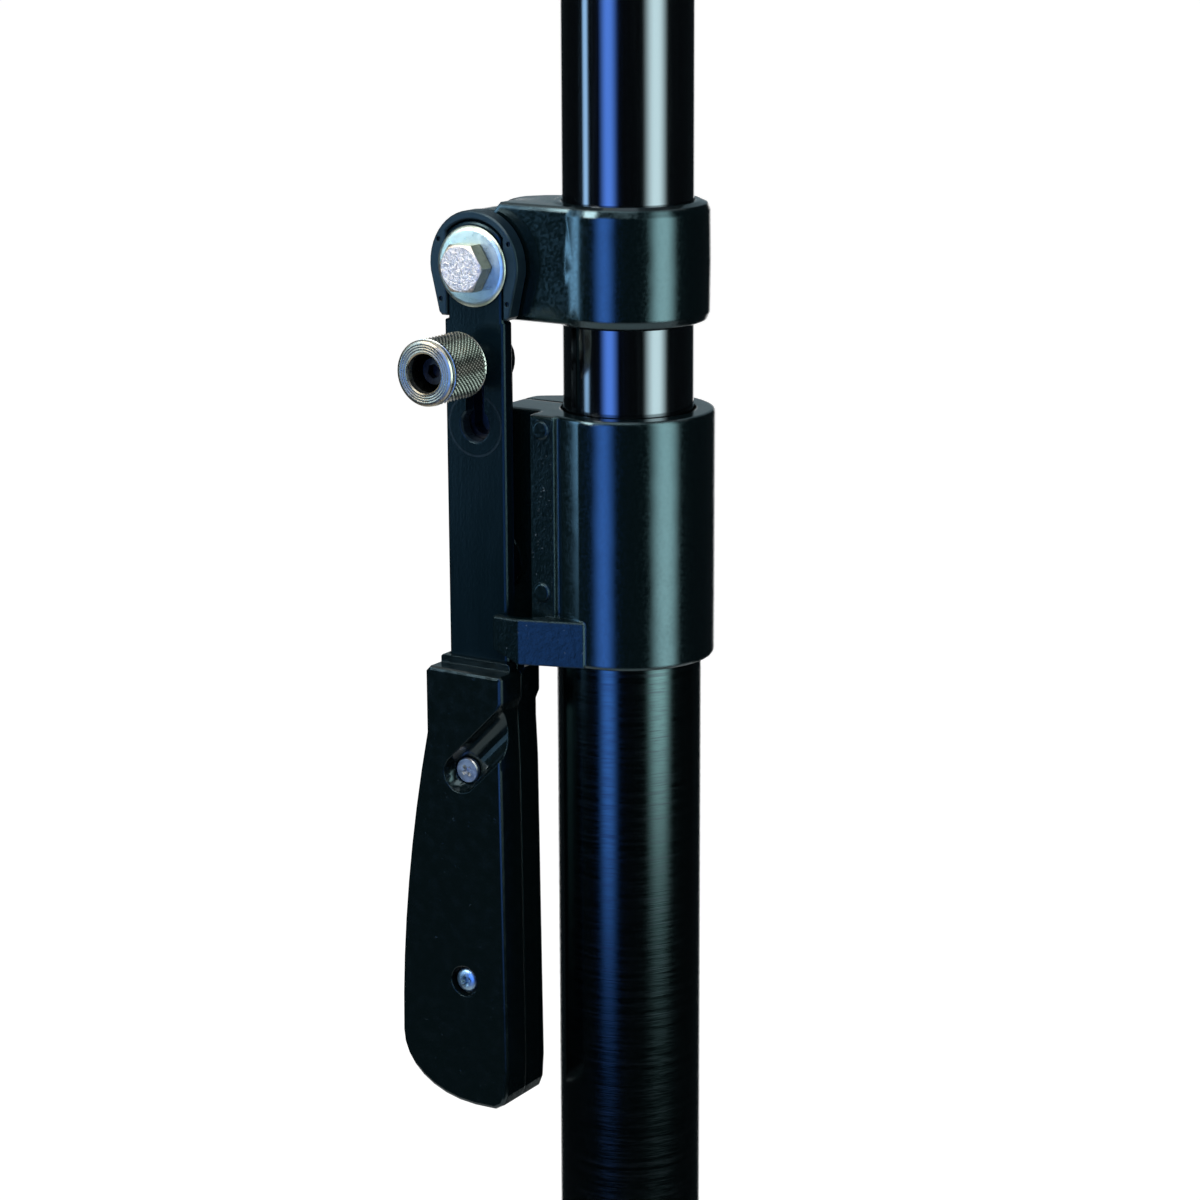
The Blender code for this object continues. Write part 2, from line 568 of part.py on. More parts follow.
def build_lower_casting(parent):
    low, high = LOWER_BOTTOM_Z, LOWER_TOP_Z
    casting = add("lower_casting", slab(lower_plan(), low, high, round_low=EDGE_ROUND, round_high=EDGE_ROUND),
                  BLACK_PAINT, parent)
    ear = slab(ear_plan(), low + EAR_LIFT, low + EAR_H, round_high=EAR_EDGE_ROUND, steps=1)
    combine(casting, add("ear_form", ear, parent=parent), "UNION")
    anchor = disc(ANCHOR_BOSS_R, -SPLIT_Y, -ARM_FRONT_Y + ANCHOR_BOSS_PROUD, "-Y", (PIVOT_X, 0, ANCHOR_Z), 28)
    combine(casting, add("anchor_boss_form", anchor, parent=parent), "UNION")
    for place, drop in enumerate((PAD_SPOT_INSET_TOP, LOWER_CASTING_H - PAD_SPOT_INSET_BOTTOM)):
        centre = ((CHEEK_LEFT_X + CHEEK_RIGHT_X) / 2, 0, high - drop)
        face = -CHEEK_FRONT_Y
        spot = disc(PAD_SPOT_R, face - OVERLAP, face + PAD_SPOT_PROUD, "-Y", centre, 20)
        combine(casting, add(f"pad_spot_form_{place}", spot, parent=parent), "UNION")
    corner = [(EAR_END_X - CUT_RELIEF, low - OVERLAP), (EAR_BEND_X + OVERLAP, low - OVERLAP)]
    corner += [(x, low + rise) for x, rise in EAR_CORNER]
    corner_cut = slab(corner, EAR_FRONT_Y - CUT_RELIEF, EAR_CORNER_BACK_Y, "XZ")
    combine(casting, add("ear_corner_cut", corner_cut, parent=parent))
    bore_r = OUTER_TUBE_R + SLIDE_FIT
    lip_r = INNER_TUBE_R + LIP_PLAY
    bore = turned([(0, low - CUT_RUN_OUT), (bore_r, low - CUT_RUN_OUT), (bore_r, high - BUSH_LIP),
                   (lip_r, high - BUSH_LIP), (lip_r, high + CUT_RUN_OUT), (0, high + CUT_RUN_OUT)])
    combine(casting, add("lower_bore_cut", bore, parent=parent))
    split_left = PIVOT_X - ANCHOR_BOSS_R - CUT_RELIEF
    split = block((split_left, SPLIT_Y - SPLIT_WIDTH / 2, low - CUT_RUN_OUT),
                  (SPLIT_END_X, SPLIT_Y + SPLIT_WIDTH / 2, high + CUT_RUN_OUT))
    combine(casting, add("split_cut", split, parent=parent))
    for place, z in enumerate(clamp_screw_heights()):
        well_r, hole_r = CLAMP_HEAD_R + CLAMP_WELL_PLAY, CLAMP_SCREW_R + PIN_FIT
        hole = turned([(0, -CLAMP_WELL_Y), (well_r, -CLAMP_WELL_Y), (well_r, -CLAMP_SEAT_Y),
                       (hole_r, -CLAMP_SEAT_Y), (hole_r, CLAMP_HOLE_DEPTH), (0, CLAMP_HOLE_DEPTH)],
                      "-Y", (CLAMP_SCREW_X, 0, z), 20)
        combine(casting, add(f"clamp_hole_cut_{place}", hole, parent=parent))
    pin_hole = disc(ANCHOR_PIN_R + PIN_FIT, ANCHOR_HOLE_Y, ANCHOR_HOLE_Y + ANCHOR_HOLE_DEPTH, "-Y",
                    (PIVOT_X, 0, ANCHOR_Z), 20)
    combine(casting, add("anchor_hole_cut", pin_hole, parent=parent))
    return casting


def clamp_screw_heights():
    return (LOWER_BOTTOM_Z + CLAMP_SCREW_INSET, LOWER_TOP_Z - CLAMP_SCREW_INSET)


def build_clamp_screws(parent):
    for name, z in zip(("clamp_screw_lower", "clamp_screw_upper"), clamp_screw_heights()):
        seat = -CLAMP_SEAT_Y - TOUCH
        head = seat - CLAMP_HEAD_H
        floor = head + CLAMP_SOCKET_DEPTH
        profile = [(0, floor), (CLAMP_SOCKET_R, floor), (CLAMP_SOCKET_R, head)]
        profile += [(CLAMP_HEAD_R - CLAMP_HEAD_BEVEL, head), (CLAMP_HEAD_R, head + CLAMP_HEAD_BEVEL)]
        profile += [(CLAMP_HEAD_R, seat), (CLAMP_SCREW_R, seat)]
        profile += [(CLAMP_SCREW_R, CLAMP_SCREW_DEPTH), (0, CLAMP_SCREW_DEPTH)]
        add(name, turned(profile, "-Y", (CLAMP_SCREW_X, 0, z), 16), BLACK_STEEL, parent)


def build_anchor_pin(parent):
    front = -LEVER_BACK_Y - ANCHOR_PIN_PROUD
    pin = disc(ANCHOR_PIN_R, ANCHOR_PIN_SEAT, front, "-Y", (PIVOT_X, 0, ANCHOR_Z), 20, PIN_BEVEL)
    add("link_anchor_pin", pin, STEEL, parent)


def upper_lug_outline():
    """Front outline of the lug: round end about the pivot, running into the ring."""
    top = UPPER_TOP_Z - LUG_TOP_SINK
    bottom = PIVOT_Z - LUG_R
    outline = [(LUG_RIGHT_X, bottom), (LUG_RIGHT_X, top), (LUG_SHELF_X, top)]
    outline += arc((PIVOT_X, PIVOT_Z), LUG_R, 80, 270, 16)
    return outline


def build_upper_casting(parent):
    low, high = UPPER_BOTTOM_Z, UPPER_TOP_Z
    profile = ring_profile(INNER_TUBE_R + PIN_FIT, UPPER_RING_R, low, high, RING_ROUND, RING_BELLY)
    casting = add("upper_casting", turned(profile), BLACK_PAINT, parent)
    lug = slab(upper_lug_outline(), LUG_FRONT_Y, LUG_BACK_Y, "XZ", LUG_FRONT_ROUND, LUG_BACK_ROUND)
    combine(casting, add("lug_form", lug, parent=parent), "UNION")
    web_y = LUG_BACK_Y - WEB_LAP
    web_plan = [(WEB_RIGHT_X, web_y), *WEB_BACK_CORNER, (WEB_BACK_CORNER[-1][0], web_y)]
    web = slab(web_plan, PIVOT_Z - LUG_R, high - WEB_TOP_SINK, round_low=WEB_ROUND, round_high=WEB_ROUND)
    combine(casting, add("web_form", web, parent=parent), "UNION")
    roof_y = LUG_BACK_Y - ROOF_LAP
    roof_plan = [(WEB_RIGHT_X, roof_y), *ROOF_BACK_CORNER, (ROOF_LEFT_X, roof_y)]
    roof = slab(roof_plan, PIVOT_Z + NUT_CLEAR_R, high - LUG_TOP_SINK, round_high=ROOF_ROUND)
    combine(casting, add("roof_form", roof, parent=parent), "UNION")
    bore = disc(INNER_TUBE_R + PIN_FIT, low - CUT_RUN_OUT, high + CUT_RUN_OUT, segments=SEGMENTS)
    combine(casting, add("upper_bore_cut", bore, parent=parent))
    hole = disc(BOLT_R + PIN_FIT, -LUG_BACK_Y - LUG_THICKNESS - CUT_RUN_OUT, -LUG_FRONT_Y + CUT_RUN_OUT, "-Y",
                (PIVOT_X, 0, PIVOT_Z), 24)
    combine(casting, add("bolt_hole_cut", hole, parent=parent))
    return casting


def build_pivot_bolt(parent):
    centre = (PIVOT_X, 0, PIVOT_Z)
    under = -LEVER_FRONT_Y + TOUCH + FRONT_WASHER_H + TOUCH
    outline = hexagon(BOLT_AF, (PIVOT_X, PIVOT_Z), 2)
    head = slab(outline, -under - BOLT_HEAD_H, -under, "XZ")
    bolt = add("pivot_bolt", head, ZINC, parent)
    start, end = under - OVERLAP, under + BOLT_HEAD_H
    cone = turned([(0, start), (BOLT_AF, start), (BOLT_AF, end - BOLT_CHAMFER_H),
                   (BOLT_AF / 2 - BOLT_FACE_INSET, end), (0, end)], "-Y", centre, 36)
    combine(bolt, add("bolt_chamfer_form", cone, parent=parent), "INTERSECT")
    tail = LUG_BACK_Y + TOUCH + REAR_WASHER_H + TOUCH + NUT_H + BOLT_TAIL
    shank = disc(BOLT_R, -tail, under + OVERLAP, "-Y", centre, 24, BOLT_END_BEVEL)
    combine(bolt, add("bolt_shank_form", shank, parent=parent), "UNION")


def build_pivot_stack(parent):
    """Front washer, turning bush, slip washer, rear washer and nut on the bolt."""
    centre = (PIVOT_X, 0, PIVOT_Z)
    front = -LEVER_FRONT_Y + TOUCH
    hole = BOLT_R + PIN_FIT
    washer = ring(hole, FRONT_WASHER_R, front, front + FRONT_WASHER_H, "-Y", centre, 36, WASHER_BEVEL)
    add("pivot_washer", washer, ZINC, parent)
    bush = ring(hole, hole + BUSH_WALL, -LUG_FRONT_Y + TOUCH, -LEVER_FRONT_Y, "-Y", centre, 24)
    add("pivot_bush", bush, BRONZE, parent)
    slip_low = -LUG_FRONT_Y + TOUCH
    slip_hole = hole + BUSH_WALL + PIN_FIT
    slip = ring(slip_hole, SLIP_WASHER_R, slip_low, slip_low + SLIP_WASHER_H, "-Y", centre, 28)
    add("slip_washer", slip, NYLON, parent)
    rear = -LUG_BACK_Y - TOUCH
    back_washer = ring(hole, REAR_WASHER_R, rear - REAR_WASHER_H, rear, "-Y", centre, 24)
    add("rear_washer", back_washer, ZINC, parent)
    nut_y = -rear + REAR_WASHER_H + TOUCH
    blank = slab(hexagon(BOLT_AF, (PIVOT_X, PIVOT_Z), 30), nut_y, nut_y + NUT_H, "XZ",
                 round_high=NUT_BEVEL, steps=1)
    nut = add("pivot_nut", blank, ZINC, parent)
    nut_hole = disc(hole, -nut_y - NUT_H - CUT_RELIEF, -nut_y + CUT_RELIEF, "-Y", centre, 24)
    combine(nut, add("nut_hole_cut", nut_hole, parent=parent))


def lever_outline():
    """Bar with a round-ended neck; the neck's left side steps in further than its right."""
    half = LEVER_WIDTH / 2
    start = math.degrees(math.acos(NECK_RIGHT / NECK_END_R))
    end = 180 - math.degrees(math.acos(NECK_LEFT / NECK_END_R))
    outline = arc((PIVOT_X, PIVOT_Z), NECK_END_R, start, end, 12)
    shoulder = PIVOT_Z - SHOULDER_DROP
    tail = PIVOT_Z - LEVER_TAIL_DROP
    outline += [(PIVOT_X - NECK_LEFT, shoulder), (PIVOT_X - half, shoulder - SHOULDER_BEVEL)]
    outline += [(PIVOT_X - half, tail + TAIL_BEVEL), (PIVOT_X - half + TAIL_BEVEL, tail)]
    outline += [(PIVOT_X + half - TAIL_BEVEL, tail), (PIVOT_X + half, tail + TAIL_BEVEL)]
    outline += [(PIVOT_X + half, shoulder - SHOULDER_BEVEL), (PIVOT_X + NECK_RIGHT, shoulder)]
    return outline


def keyhole_outline():
    """Slot from the knob's place down to the round hole that takes the knob's nose."""
    low = LINK_Z - KNOB_TRAVEL
    half = SLOT_WIDTH / 2
    side = math.degrees(math.asin(half / KEYHOLE_R))
    outline = arc((PIVOT_X, LINK_Z), half, 0, 180, 10)
    outline += arc((PIVOT_X, low), KEYHOLE_R, 90 + side, 450 - side, 20)
    return outline


def build_lever_bar(parent):
    blank = slab(lever_outline(), LEVER_FRONT_Y, LEVER_BACK_Y, "XZ", LEVER_EDGE_ROUND, LEVER_BACK_ROUND, 2)
    bar = add("lever_bar", blank, NAVY_PAINT, parent)
    back = -LEVER_BACK_Y
    hub = disc(LINK_HUB_R, back - LINK_HUB_H, back + OVERLAP, "-Y", (PIVOT_X, 0, LINK_Z), 32)
    combine(bar, add("link_hub_form", hub, parent=parent), "UNION")
    slot_back = LEVER_BACK_Y + LINK_HUB_H + CUT_RELIEF
    slot = slab(keyhole_outline(), LEVER_FRONT_Y - CUT_RELIEF, slot_back, "XZ")
    combine(bar, add("keyhole_cut", slot, parent=parent))
    front = -LEVER_FRONT_Y
    rim = turned([(0, front - KEYHOLE_CHAMFER), (KEYHOLE_R, front - KEYHOLE_CHAMFER),
                  (KEYHOLE_R + 2 * KEYHOLE_CHAMFER, front + KEYHOLE_CHAMFER), (0, front + KEYHOLE_CHAMFER)],
                 "-Y", (PIVOT_X, 0, LINK_Z - KNOB_TRAVEL), 28)
    combine(bar, add("keyhole_chamfer_cut", rim, parent=parent))
    eye_r = BOLT_R + PIN_FIT + BUSH_WALL + PIN_FIT
    bolt_hole = disc(eye_r, *LEVER_CUT_DEPTHS, "-Y", (PIVOT_X, 0, PIVOT_Z), 28)
    combine(bar, add("lever_eye_cut", bolt_hole, parent=parent))
    for name, drop in (("upper", UPPER_SCREW_DROP), ("lower", LOWER_SCREW_DROP)):
        centre = (GRIP_SCREW_X, 0, PIVOT_Z - drop)
        hole = disc(GRIP_SCREW_R + BAR_HOLE_PLAY, *LEVER_CUT_DEPTHS, "-Y", centre, 16)
        combine(bar, add(f"bar_hole_{name}_cut", hole, parent=parent))


def shroud_outline():
    """Horseshoe round the neck: round crown, legs that taper down to the shoulder."""
    left, right = NECK_LEFT + TOUCH, NECK_RIGHT + TOUCH
    inner_start = 180 - math.degrees(math.acos(left / SHROUD_INNER_R))
    inner_end = math.degrees(math.acos(right / SHROUD_INNER_R))
    leg_z = PIVOT_Z - SHROUD_LEG_DROP
    stretch = SHROUD_RISE / SHROUD_R
    outline = []
    for u, v in arc((0, 0), SHROUD_R, -8, 188, 26):
        outline.append((PIVOT_X + u, PIVOT_Z + (v * stretch if v > 0 else v)))
    left_x, right_x = PIVOT_X - SHROUD_LEG_HALF, PIVOT_X + SHROUD_LEG_HALF
    outline += [(left_x, leg_z + SHROUD_LEG_BEVEL), (left_x + SHROUD_LEG_BEVEL, leg_z)]
    outline += [(PIVOT_X - left, leg_z)]
    outline += arc((PIVOT_X, PIVOT_Z), SHROUD_INNER_R, inner_start, inner_end, 12)
    outline += [(PIVOT_X + right, leg_z), (right_x - SHROUD_LEG_BEVEL, leg_z)]
    outline += [(right_x, leg_z + SHROUD_LEG_BEVEL)]
    return outline


def build_end_shroud(parent):
    front = LEVER_FRONT_Y
    form = slab(shroud_outline(), front, LEVER_BACK_Y + TOUCH, "XZ", SHROUD_EDGE_ROUND, 0.0, 1)
    shroud = add("end_shroud", form, BLACK_PLASTIC, parent)
    for place, (dx, dz) in enumerate(DIMPLES):
        centre = (PIVOT_X + dx, 0, PIVOT_Z + dz)
        dimple = disc(DIMPLE_R, -front - DIMPLE_DEPTH, -front + OVERLAP, "-Y", centre, 10)
        combine(shroud, add(f"dimple_cut_{place}", dimple, parent=parent))


def grip_outline():
    """Side view of the grip: straight by the pole, palm swelling outward, round heel."""
    top, bottom = PIVOT_Z - GRIP_TOP_DROP, PIVOT_Z - GRIP_BOTTOM_DROP
    pole_x = GRIP_POLE_SIDE_X
    palm_x = pole_x - GRIP_PALM_WIDTH
    side_x = pole_x - GRIP_TOP_WIDTH
    palm_z = PIVOT_Z - GRIP_PALM_DROP
    start_z = top - GRIP_STRAIGHT
    outline = [(pole_x, top - GRIP_TOP_BEVEL), (pole_x - GRIP_TOP_BEVEL, top)]
    outline += [(side_x + GRIP_SIDE_BEVEL, top), (side_x, top - GRIP_SIDE_BEVEL)]
    for i in range(GRIP_SWELL_STEPS + 1):
        t = i / GRIP_SWELL_STEPS
        swell = 1 - (1 - t) ** GRIP_SWELL_POWER
        outline.append((side_x + (palm_x - side_x) * swell, start_z + (palm_z - start_z) * t))
    heel = ((palm_x, palm_z), (palm_x, palm_z - GRIP_HEEL_DROP), (palm_x + GRIP_HEEL_DROP, bottom),
            (palm_x + GRIP_HEEL_RUN, bottom))
    outline += [bezier(heel, (i + 1) / 8) for i in range(8)]
    outline += [(pole_x + dx, bottom + rise) for dx, rise in GRIP_HEEL_CORNER]
    outline += [(pole_x + dx, top - drop) for dx, drop in GRIP_POLE_SIDE]
    return outline


def bezier(points, t):
    a, b, c, d = [Vector(p) for p in points]
    place = a * (1 - t) ** 3 + b * 3 * t * (1 - t) ** 2 + c * 3 * t * t * (1 - t) + d * t ** 3
    return (place.x, place.y)


def grip_pocket(low_y, high_y):
    half = LEVER_WIDTH / 2 + GRIP_POCKET_PLAY
    bottom = PIVOT_Z - LEVER_TAIL_DROP - GRIP_POCKET_PLAY
    return block((PIVOT_X - half, low_y, bottom), (PIVOT_X + half, high_y, PIVOT_Z - GRIP_TOP_DROP + 0.02))


def grip_rim(low_y, high_y):
    half = LEVER_WIDTH / 2 + GRIP_RIM_WALL
    top = PIVOT_Z - GRIP_TOP_DROP
    left_x, right_x, rim_z = PIVOT_X - half, PIVOT_X + half, top + GRIP_RIM_H
    outline = [(left_x, top - GRIP_RIM_LAP), (right_x, top - GRIP_RIM_LAP)]
    outline += [(right_x, rim_z - GRIP_RIM_BEVEL), (right_x - GRIP_RIM_BEVEL, rim_z)]
    outline += [(left_x + GRIP_RIM_BEVEL, rim_z), (left_x, rim_z - GRIP_RIM_BEVEL)]
    return slab(outline, low_y, high_y, "XZ")


def trough():
    """Half-round trough from the upper screw to the pole-side edge."""
    profile = [(0, -TROUGH_R)] + [(TROUGH_R * math.cos(math.radians(a)), TROUGH_R * math.sin(math.radians(a)))
                                  for a in (-70, -50, -30, -12)]
    profile += [(TROUGH_R, 0), (TROUGH_R, TROUGH_REACH), (0, TROUGH_REACH)]
    bm = turned(profile, segments=28)
    tilt = Matrix.Rotation(math.radians(TROUGH_ANGLE_DEG), 4, "Y")
    x, z = GRIP_SCREW_X - TROUGH_SHIFT, PIVOT_Z - UPPER_SCREW_DROP - TROUGH_SHIFT
    bm.transform(Matrix.Translation((x, GRIP_FRONT_Y - TROUGH_LIFT, z)) @ tilt)
    return bm


def upper_screw_seat_y():
    return GRIP_FRONT_Y - TROUGH_LIFT + TROUGH_R - UPPER_SEAT_LIFT


def build_grip_front(parent):
    seam = LEVER_MID_Y - TOUCH / 2
    front = add("grip_front", slab(grip_outline(), GRIP_FRONT_Y, seam, "XZ", GRIP_EDGE_ROUND, 0.0, 2),
                BLACK_PLASTIC, parent)
    rim = add("rim_front_form", grip_rim(LEVER_FRONT_Y - GRIP_RIM_WALL, seam), parent=parent)
    combine(front, rim, "UNION")
    combine(front, add("pocket_front_cut", grip_pocket(LEVER_FRONT_Y - GRIP_POCKET_PLAY, 0), parent=parent))
    combine(front, add("trough_cut", trough(), parent=parent))
    seat = -upper_screw_seat_y()
    hole = GRIP_SCREW_R + PIN_FIT
    start, end = GRIP_CUT_DEPTHS
    well_r = GRIP_SCREW_HEAD_R + HEAD_PLAY
    upper = turned([(0, start), (hole, start), (hole, seat), (well_r, seat), (well_r, end), (0, end)], "-Y",
                   (GRIP_SCREW_X, 0, PIVOT_Z - UPPER_SCREW_DROP), 28)
    combine(front, add("upper_screw_cut", upper, parent=parent))
    bore_y = -GRIP_FRONT_Y - COUNTERBORE_DEPTH
    lower = turned([(0, start), (hole, start), (hole, bore_y), (COUNTERBORE_R, bore_y),
                    (COUNTERBORE_R, end), (0, end)], "-Y",
                   (GRIP_SCREW_X, 0, PIVOT_Z - LOWER_SCREW_DROP), 28)
    combine(front, add("lower_screw_cut", lower, parent=parent))


def build_grip_back(parent):
    seam = LEVER_MID_Y + TOUCH / 2
    back = add("grip_back", slab(grip_outline(), seam, GRIP_BACK_Y, "XZ", 0.0, GRIP_EDGE_ROUND, 2),
               BLACK_PLASTIC, parent)
    combine(back, add("rim_back_form", grip_rim(seam, LEVER_BACK_Y + GRIP_RIM_WALL), parent=parent), "UNION")
    combine(back, add("pocket_back_cut", grip_pocket(-0.05, LEVER_BACK_Y + GRIP_POCKET_PLAY), parent=parent))
    for name, drop in (("upper", UPPER_SCREW_DROP), ("lower", LOWER_SCREW_DROP)):
        centre = (GRIP_SCREW_X, 0, PIVOT_Z - drop)
        hole = disc(GRIP_SCREW_R + PIN_FIT, *BACK_CUT_DEPTHS, "-Y", centre, 16)
        combine(back, add(f"back_hole_{name}_cut", hole, parent=parent))


def build_grip_screws(parent):
    seat = -upper_screw_seat_y() + TOUCH
    build_grip_screw("grip_screw_upper", UPPER_SCREW_DROP, seat, FLAT_HEAD, STEEL, parent)
    seat = -GRIP_FRONT_Y - COUNTERBORE_DEPTH + TOUCH
    build_grip_screw("grip_screw_lower", LOWER_SCREW_DROP, seat, PAN_HEAD, ZINC, parent)


def build_grip_screw(name, drop, seat, head, spec, parent):
    """One grip screw; head lists how far the rim steps in at each height over the seat."""
    profile = [(0, GRIP_SCREW_TIP), (GRIP_SCREW_R, GRIP_SCREW_TIP), (GRIP_SCREW_R, seat)]
    profile += [(GRIP_SCREW_HEAD_R, seat)]
    profile += [(GRIP_SCREW_HEAD_R - inset, seat + height) for inset, height in head]
    add(name, turned(profile, "-Y", (GRIP_SCREW_X, 0, PIVOT_Z - drop), 20), spec, parent)


def pin_wander():
    """Where the anchor pin stands in the link's own frame while the lever opens."""
    path = []
    steps = 12
    for i in range(steps + 1):
        part = i / steps
        swing = math.radians(LEVER_OPEN_DEG) * part
        lean = math.radians(LINK_TURN_DEG) * part
        eye = Vector((-LINK_ARM * math.sin(swing), -COLLAR_DROP * part - LINK_ARM * math.cos(swing)))
        down = Vector((math.sin(lean), -math.cos(lean)))
        across = Vector((math.cos(lean), math.sin(lean)))
        gap = Vector((0, -LINK_ARM - LINK_LENGTH)) - eye
        path.append(Vector((gap.dot(across), -gap.dot(down) + LINK_LENGTH)))
    return path


def link_foot_slot():
    """Slotted eye at the link's foot, as long as the anchor pin wanders."""
    far = max(pin_wander(), key=lambda p: p.length)
    radius = ANCHOR_PIN_R + ANCHOR_EYE_PLAY
    angle = math.degrees(math.atan2(far.y, far.x))
    near_end = arc((PIVOT_X, ANCHOR_Z), radius, angle + 90, angle + 270, 10)
    far_end = arc((PIVOT_X + far.x, ANCHOR_Z + far.y), radius, angle - 90, angle + 90, 10)
    return near_end + far_end


def link_outline():
    half = LINK_WIDTH / 2
    side = math.degrees(math.acos(half / LINK_EYE_R))
    outline = arc((PIVOT_X, LINK_Z), LINK_EYE_R, -side, 180 + side, 24)
    foot_side = math.degrees(math.acos(half / LINK_FOOT_R))
    outline += arc((PIVOT_X, ANCHOR_Z), LINK_FOOT_R, 180 - foot_side, 360 + foot_side, 20)
    return outline


def build_link(parent):
    front = LEVER_BACK_Y + TOUCH
    back = front + LINK_THICKNESS
    link = add("link_bar", slab(link_outline(), front, back, "XZ", 0.0, 0.0), BLACK_STEEL, parent)
    cut = (front - CUT_RELIEF, back + CUT_RELIEF)
    eye = disc(LINK_HUB_R + PIN_FIT, -cut[1], -cut[0], "-Y", (PIVOT_X, 0, LINK_Z), 32)
    combine(link, add("link_eye_cut", eye, parent=parent))
    half = SLOT_WIDTH / 2
    low = LINK_Z - KNOB_TRAVEL
    slot_outline = [(PIVOT_X + half, LINK_Z), (PIVOT_X - half, LINK_Z)]
    slot_outline += arc((PIVOT_X, low), half, 180, 360, 10)
    slot = slab(slot_outline, *cut, "XZ")
    combine(link, add("link_slot_cut", slot, parent=parent))
    foot = slab(link_foot_slot(), *cut, "XZ")
    combine(link, add("link_foot_cut", foot, parent=parent))


def build_stud(parent):
    """Shouldered stud through link and lever; its back plate keeps it square in the slots."""
    centre = (PIVOT_X, 0, LINK_Z)
    link_back = -(LEVER_BACK_Y + TOUCH + LINK_THICKNESS)
    flange_front = link_back - TOUCH
    flange_back = flange_front - STUD_FLANGE_H
    knob_face = knob_face_y()
    screw_front = knob_face - KNOB_SCREW_DEPTH
    end = screw_front - KNOB_SCREW_HEAD_H - TOUCH
    hole = KNOB_SCREW_R + PIN_FIT
    profile = [(0, flange_back), (STUD_FLANGE_R, flange_back), (STUD_FLANGE_R, flange_front)]
    profile += [(STUD_R, flange_front), (STUD_R, end), (hole, end)]
    profile += [(hole, end - STUD_HOLE_DEPTH), (0, end - STUD_HOLE_DEPTH)]
    stud = add("slide_stud", turned(profile, "-Y", centre, 20), STEEL, parent)
    half = STUD_TONGUE_HALF
    foot = LINK_Z - STUD_TONGUE_DROP
    tongue = [(PIVOT_X + half, LINK_Z), (PIVOT_X - half, LINK_Z)]
    tongue += arc((PIVOT_X, foot + half), half, 180, 360, 8)
    slide = slab(tongue, -flange_front, -flange_back, "XZ")
    combine(stud, add("stud_tongue_form", slide, parent=parent), "UNION")
    tip = end - KNOB_SCREW_REACH
    head_back = end + TOUCH
    head_r = KNOB_SCREW_HEAD_R
    screw_profile = [(0, tip), (KNOB_SCREW_R, tip), (KNOB_SCREW_R, head_back), (head_r, head_back)]
    screw_profile += [(head_r, screw_front - KNOB_SCREW_BEVEL), (head_r - KNOB_SCREW_BEVEL, screw_front)]
    screw_profile += [(0, screw_front)]
    screw = add("knob_screw", turned(screw_profile, "-Y", centre, 20), BLACK_STEEL, parent)
    socket = slab(hexagon(KNOB_HEX_AF, (PIVOT_X, LINK_Z), 20), -screw_front - OVERLAP,
                  -screw_front + KNOB_HEX_DEPTH, "XZ")
    combine(screw, add("knob_hex_cut", socket, parent=parent))


def knob_face_y():
    return -LEVER_FRONT_Y + TOUCH + KNOB_NOSE_H + KNOB_BODY_H


def spring_span():
    """Depth range of the spring, between the knob's inner wall and the screw's head."""
    wall = -LEVER_FRONT_Y + TOUCH + KNOB_WALL_H
    head = knob_face_y() - KNOB_SCREW_DEPTH - KNOB_SCREW_HEAD_H
    return wall + TOUCH, head - TOUCH


def build_knob_spring(parent):
    low, high = spring_span()
    low += SPRING_WIRE_R
    high -= SPRING_WIRE_R
    per_turn = 9
    count = int(SPRING_TURNS * per_turn) + 1
    curve = bpy.data.curves.new("knob_spring", "CURVE")
    curve.dimensions = "3D"
    curve.bevel_depth = SPRING_WIRE_R
    curve.bevel_resolution = 1
    curve.use_fill_caps = True
    line = curve.splines.new("POLY")
    line.points.add(count - 1)
    for i, point in enumerate(line.points):
        turn = math.tau * i / per_turn
        depth = low + (high - low) * i / (count - 1)
        point.co = (SPRING_R * math.cos(turn), -depth - parent.matrix_world.translation.y,
                    SPRING_R * math.sin(turn), 1)
    made = bpy.data.objects.new("knob_spring", curve)
    bpy.context.collection.objects.link(made)
    made.parent = parent
    curve.materials.append(material(STEEL))


def build_knob(parent):
    """Knurled pull knob: nose on the lever's face, deep bore for spring and screw."""
    nose = -LEVER_FRONT_Y + TOUCH
    shoulder = nose + KNOB_NOSE_H
    face = shoulder + KNOB_BODY_H
    hole = STUD_R + PIN_FIT
    rim = face - KNOB_RIM_H
    rim_r = KNOB_R - KNOB_RIM_CUT
    profile = [(hole, nose), (KNOB_NOSE_R, nose), (KNOB_NOSE_R, shoulder)]
    profile += [(KNOB_R - KNOB_BACK_BEVEL, shoulder), (KNOB_R, shoulder + KNOB_BACK_BEVEL), (KNOB_R, rim)]
    profile += [(rim_r, rim + KNOB_RIM_CUT), (rim_r, face - KNOB_RIM_CUT), (rim_r - KNOB_RIM_CUT, face)]
    profile += [(KNOB_BORE_R, face), (KNOB_BORE_R, nose + KNOB_WALL_H), (hole, nose + KNOB_WALL_H)]
    add("pull_knob", turned(profile, "-Y", (PIVOT_X, 0, LINK_Z), 30), NICKEL, parent)


def build_inner_tube(parent, top):
    bottom = inner_tube_bottom()
    profile = [(INNER_BORE_R, bottom), (INNER_TUBE_R, bottom), (INNER_TUBE_R, top), (INNER_BORE_R, top)]
    add("inner_tube", turned(profile), BLACK_GLOSS, parent)


def inner_tube_bottom():
    tube_top = LOWER_TOP_Z - BUSH_LIP - TOUCH - BUSH_H - TOUCH
    return tube_top - TUBE_OVERLAP - EXTENSION


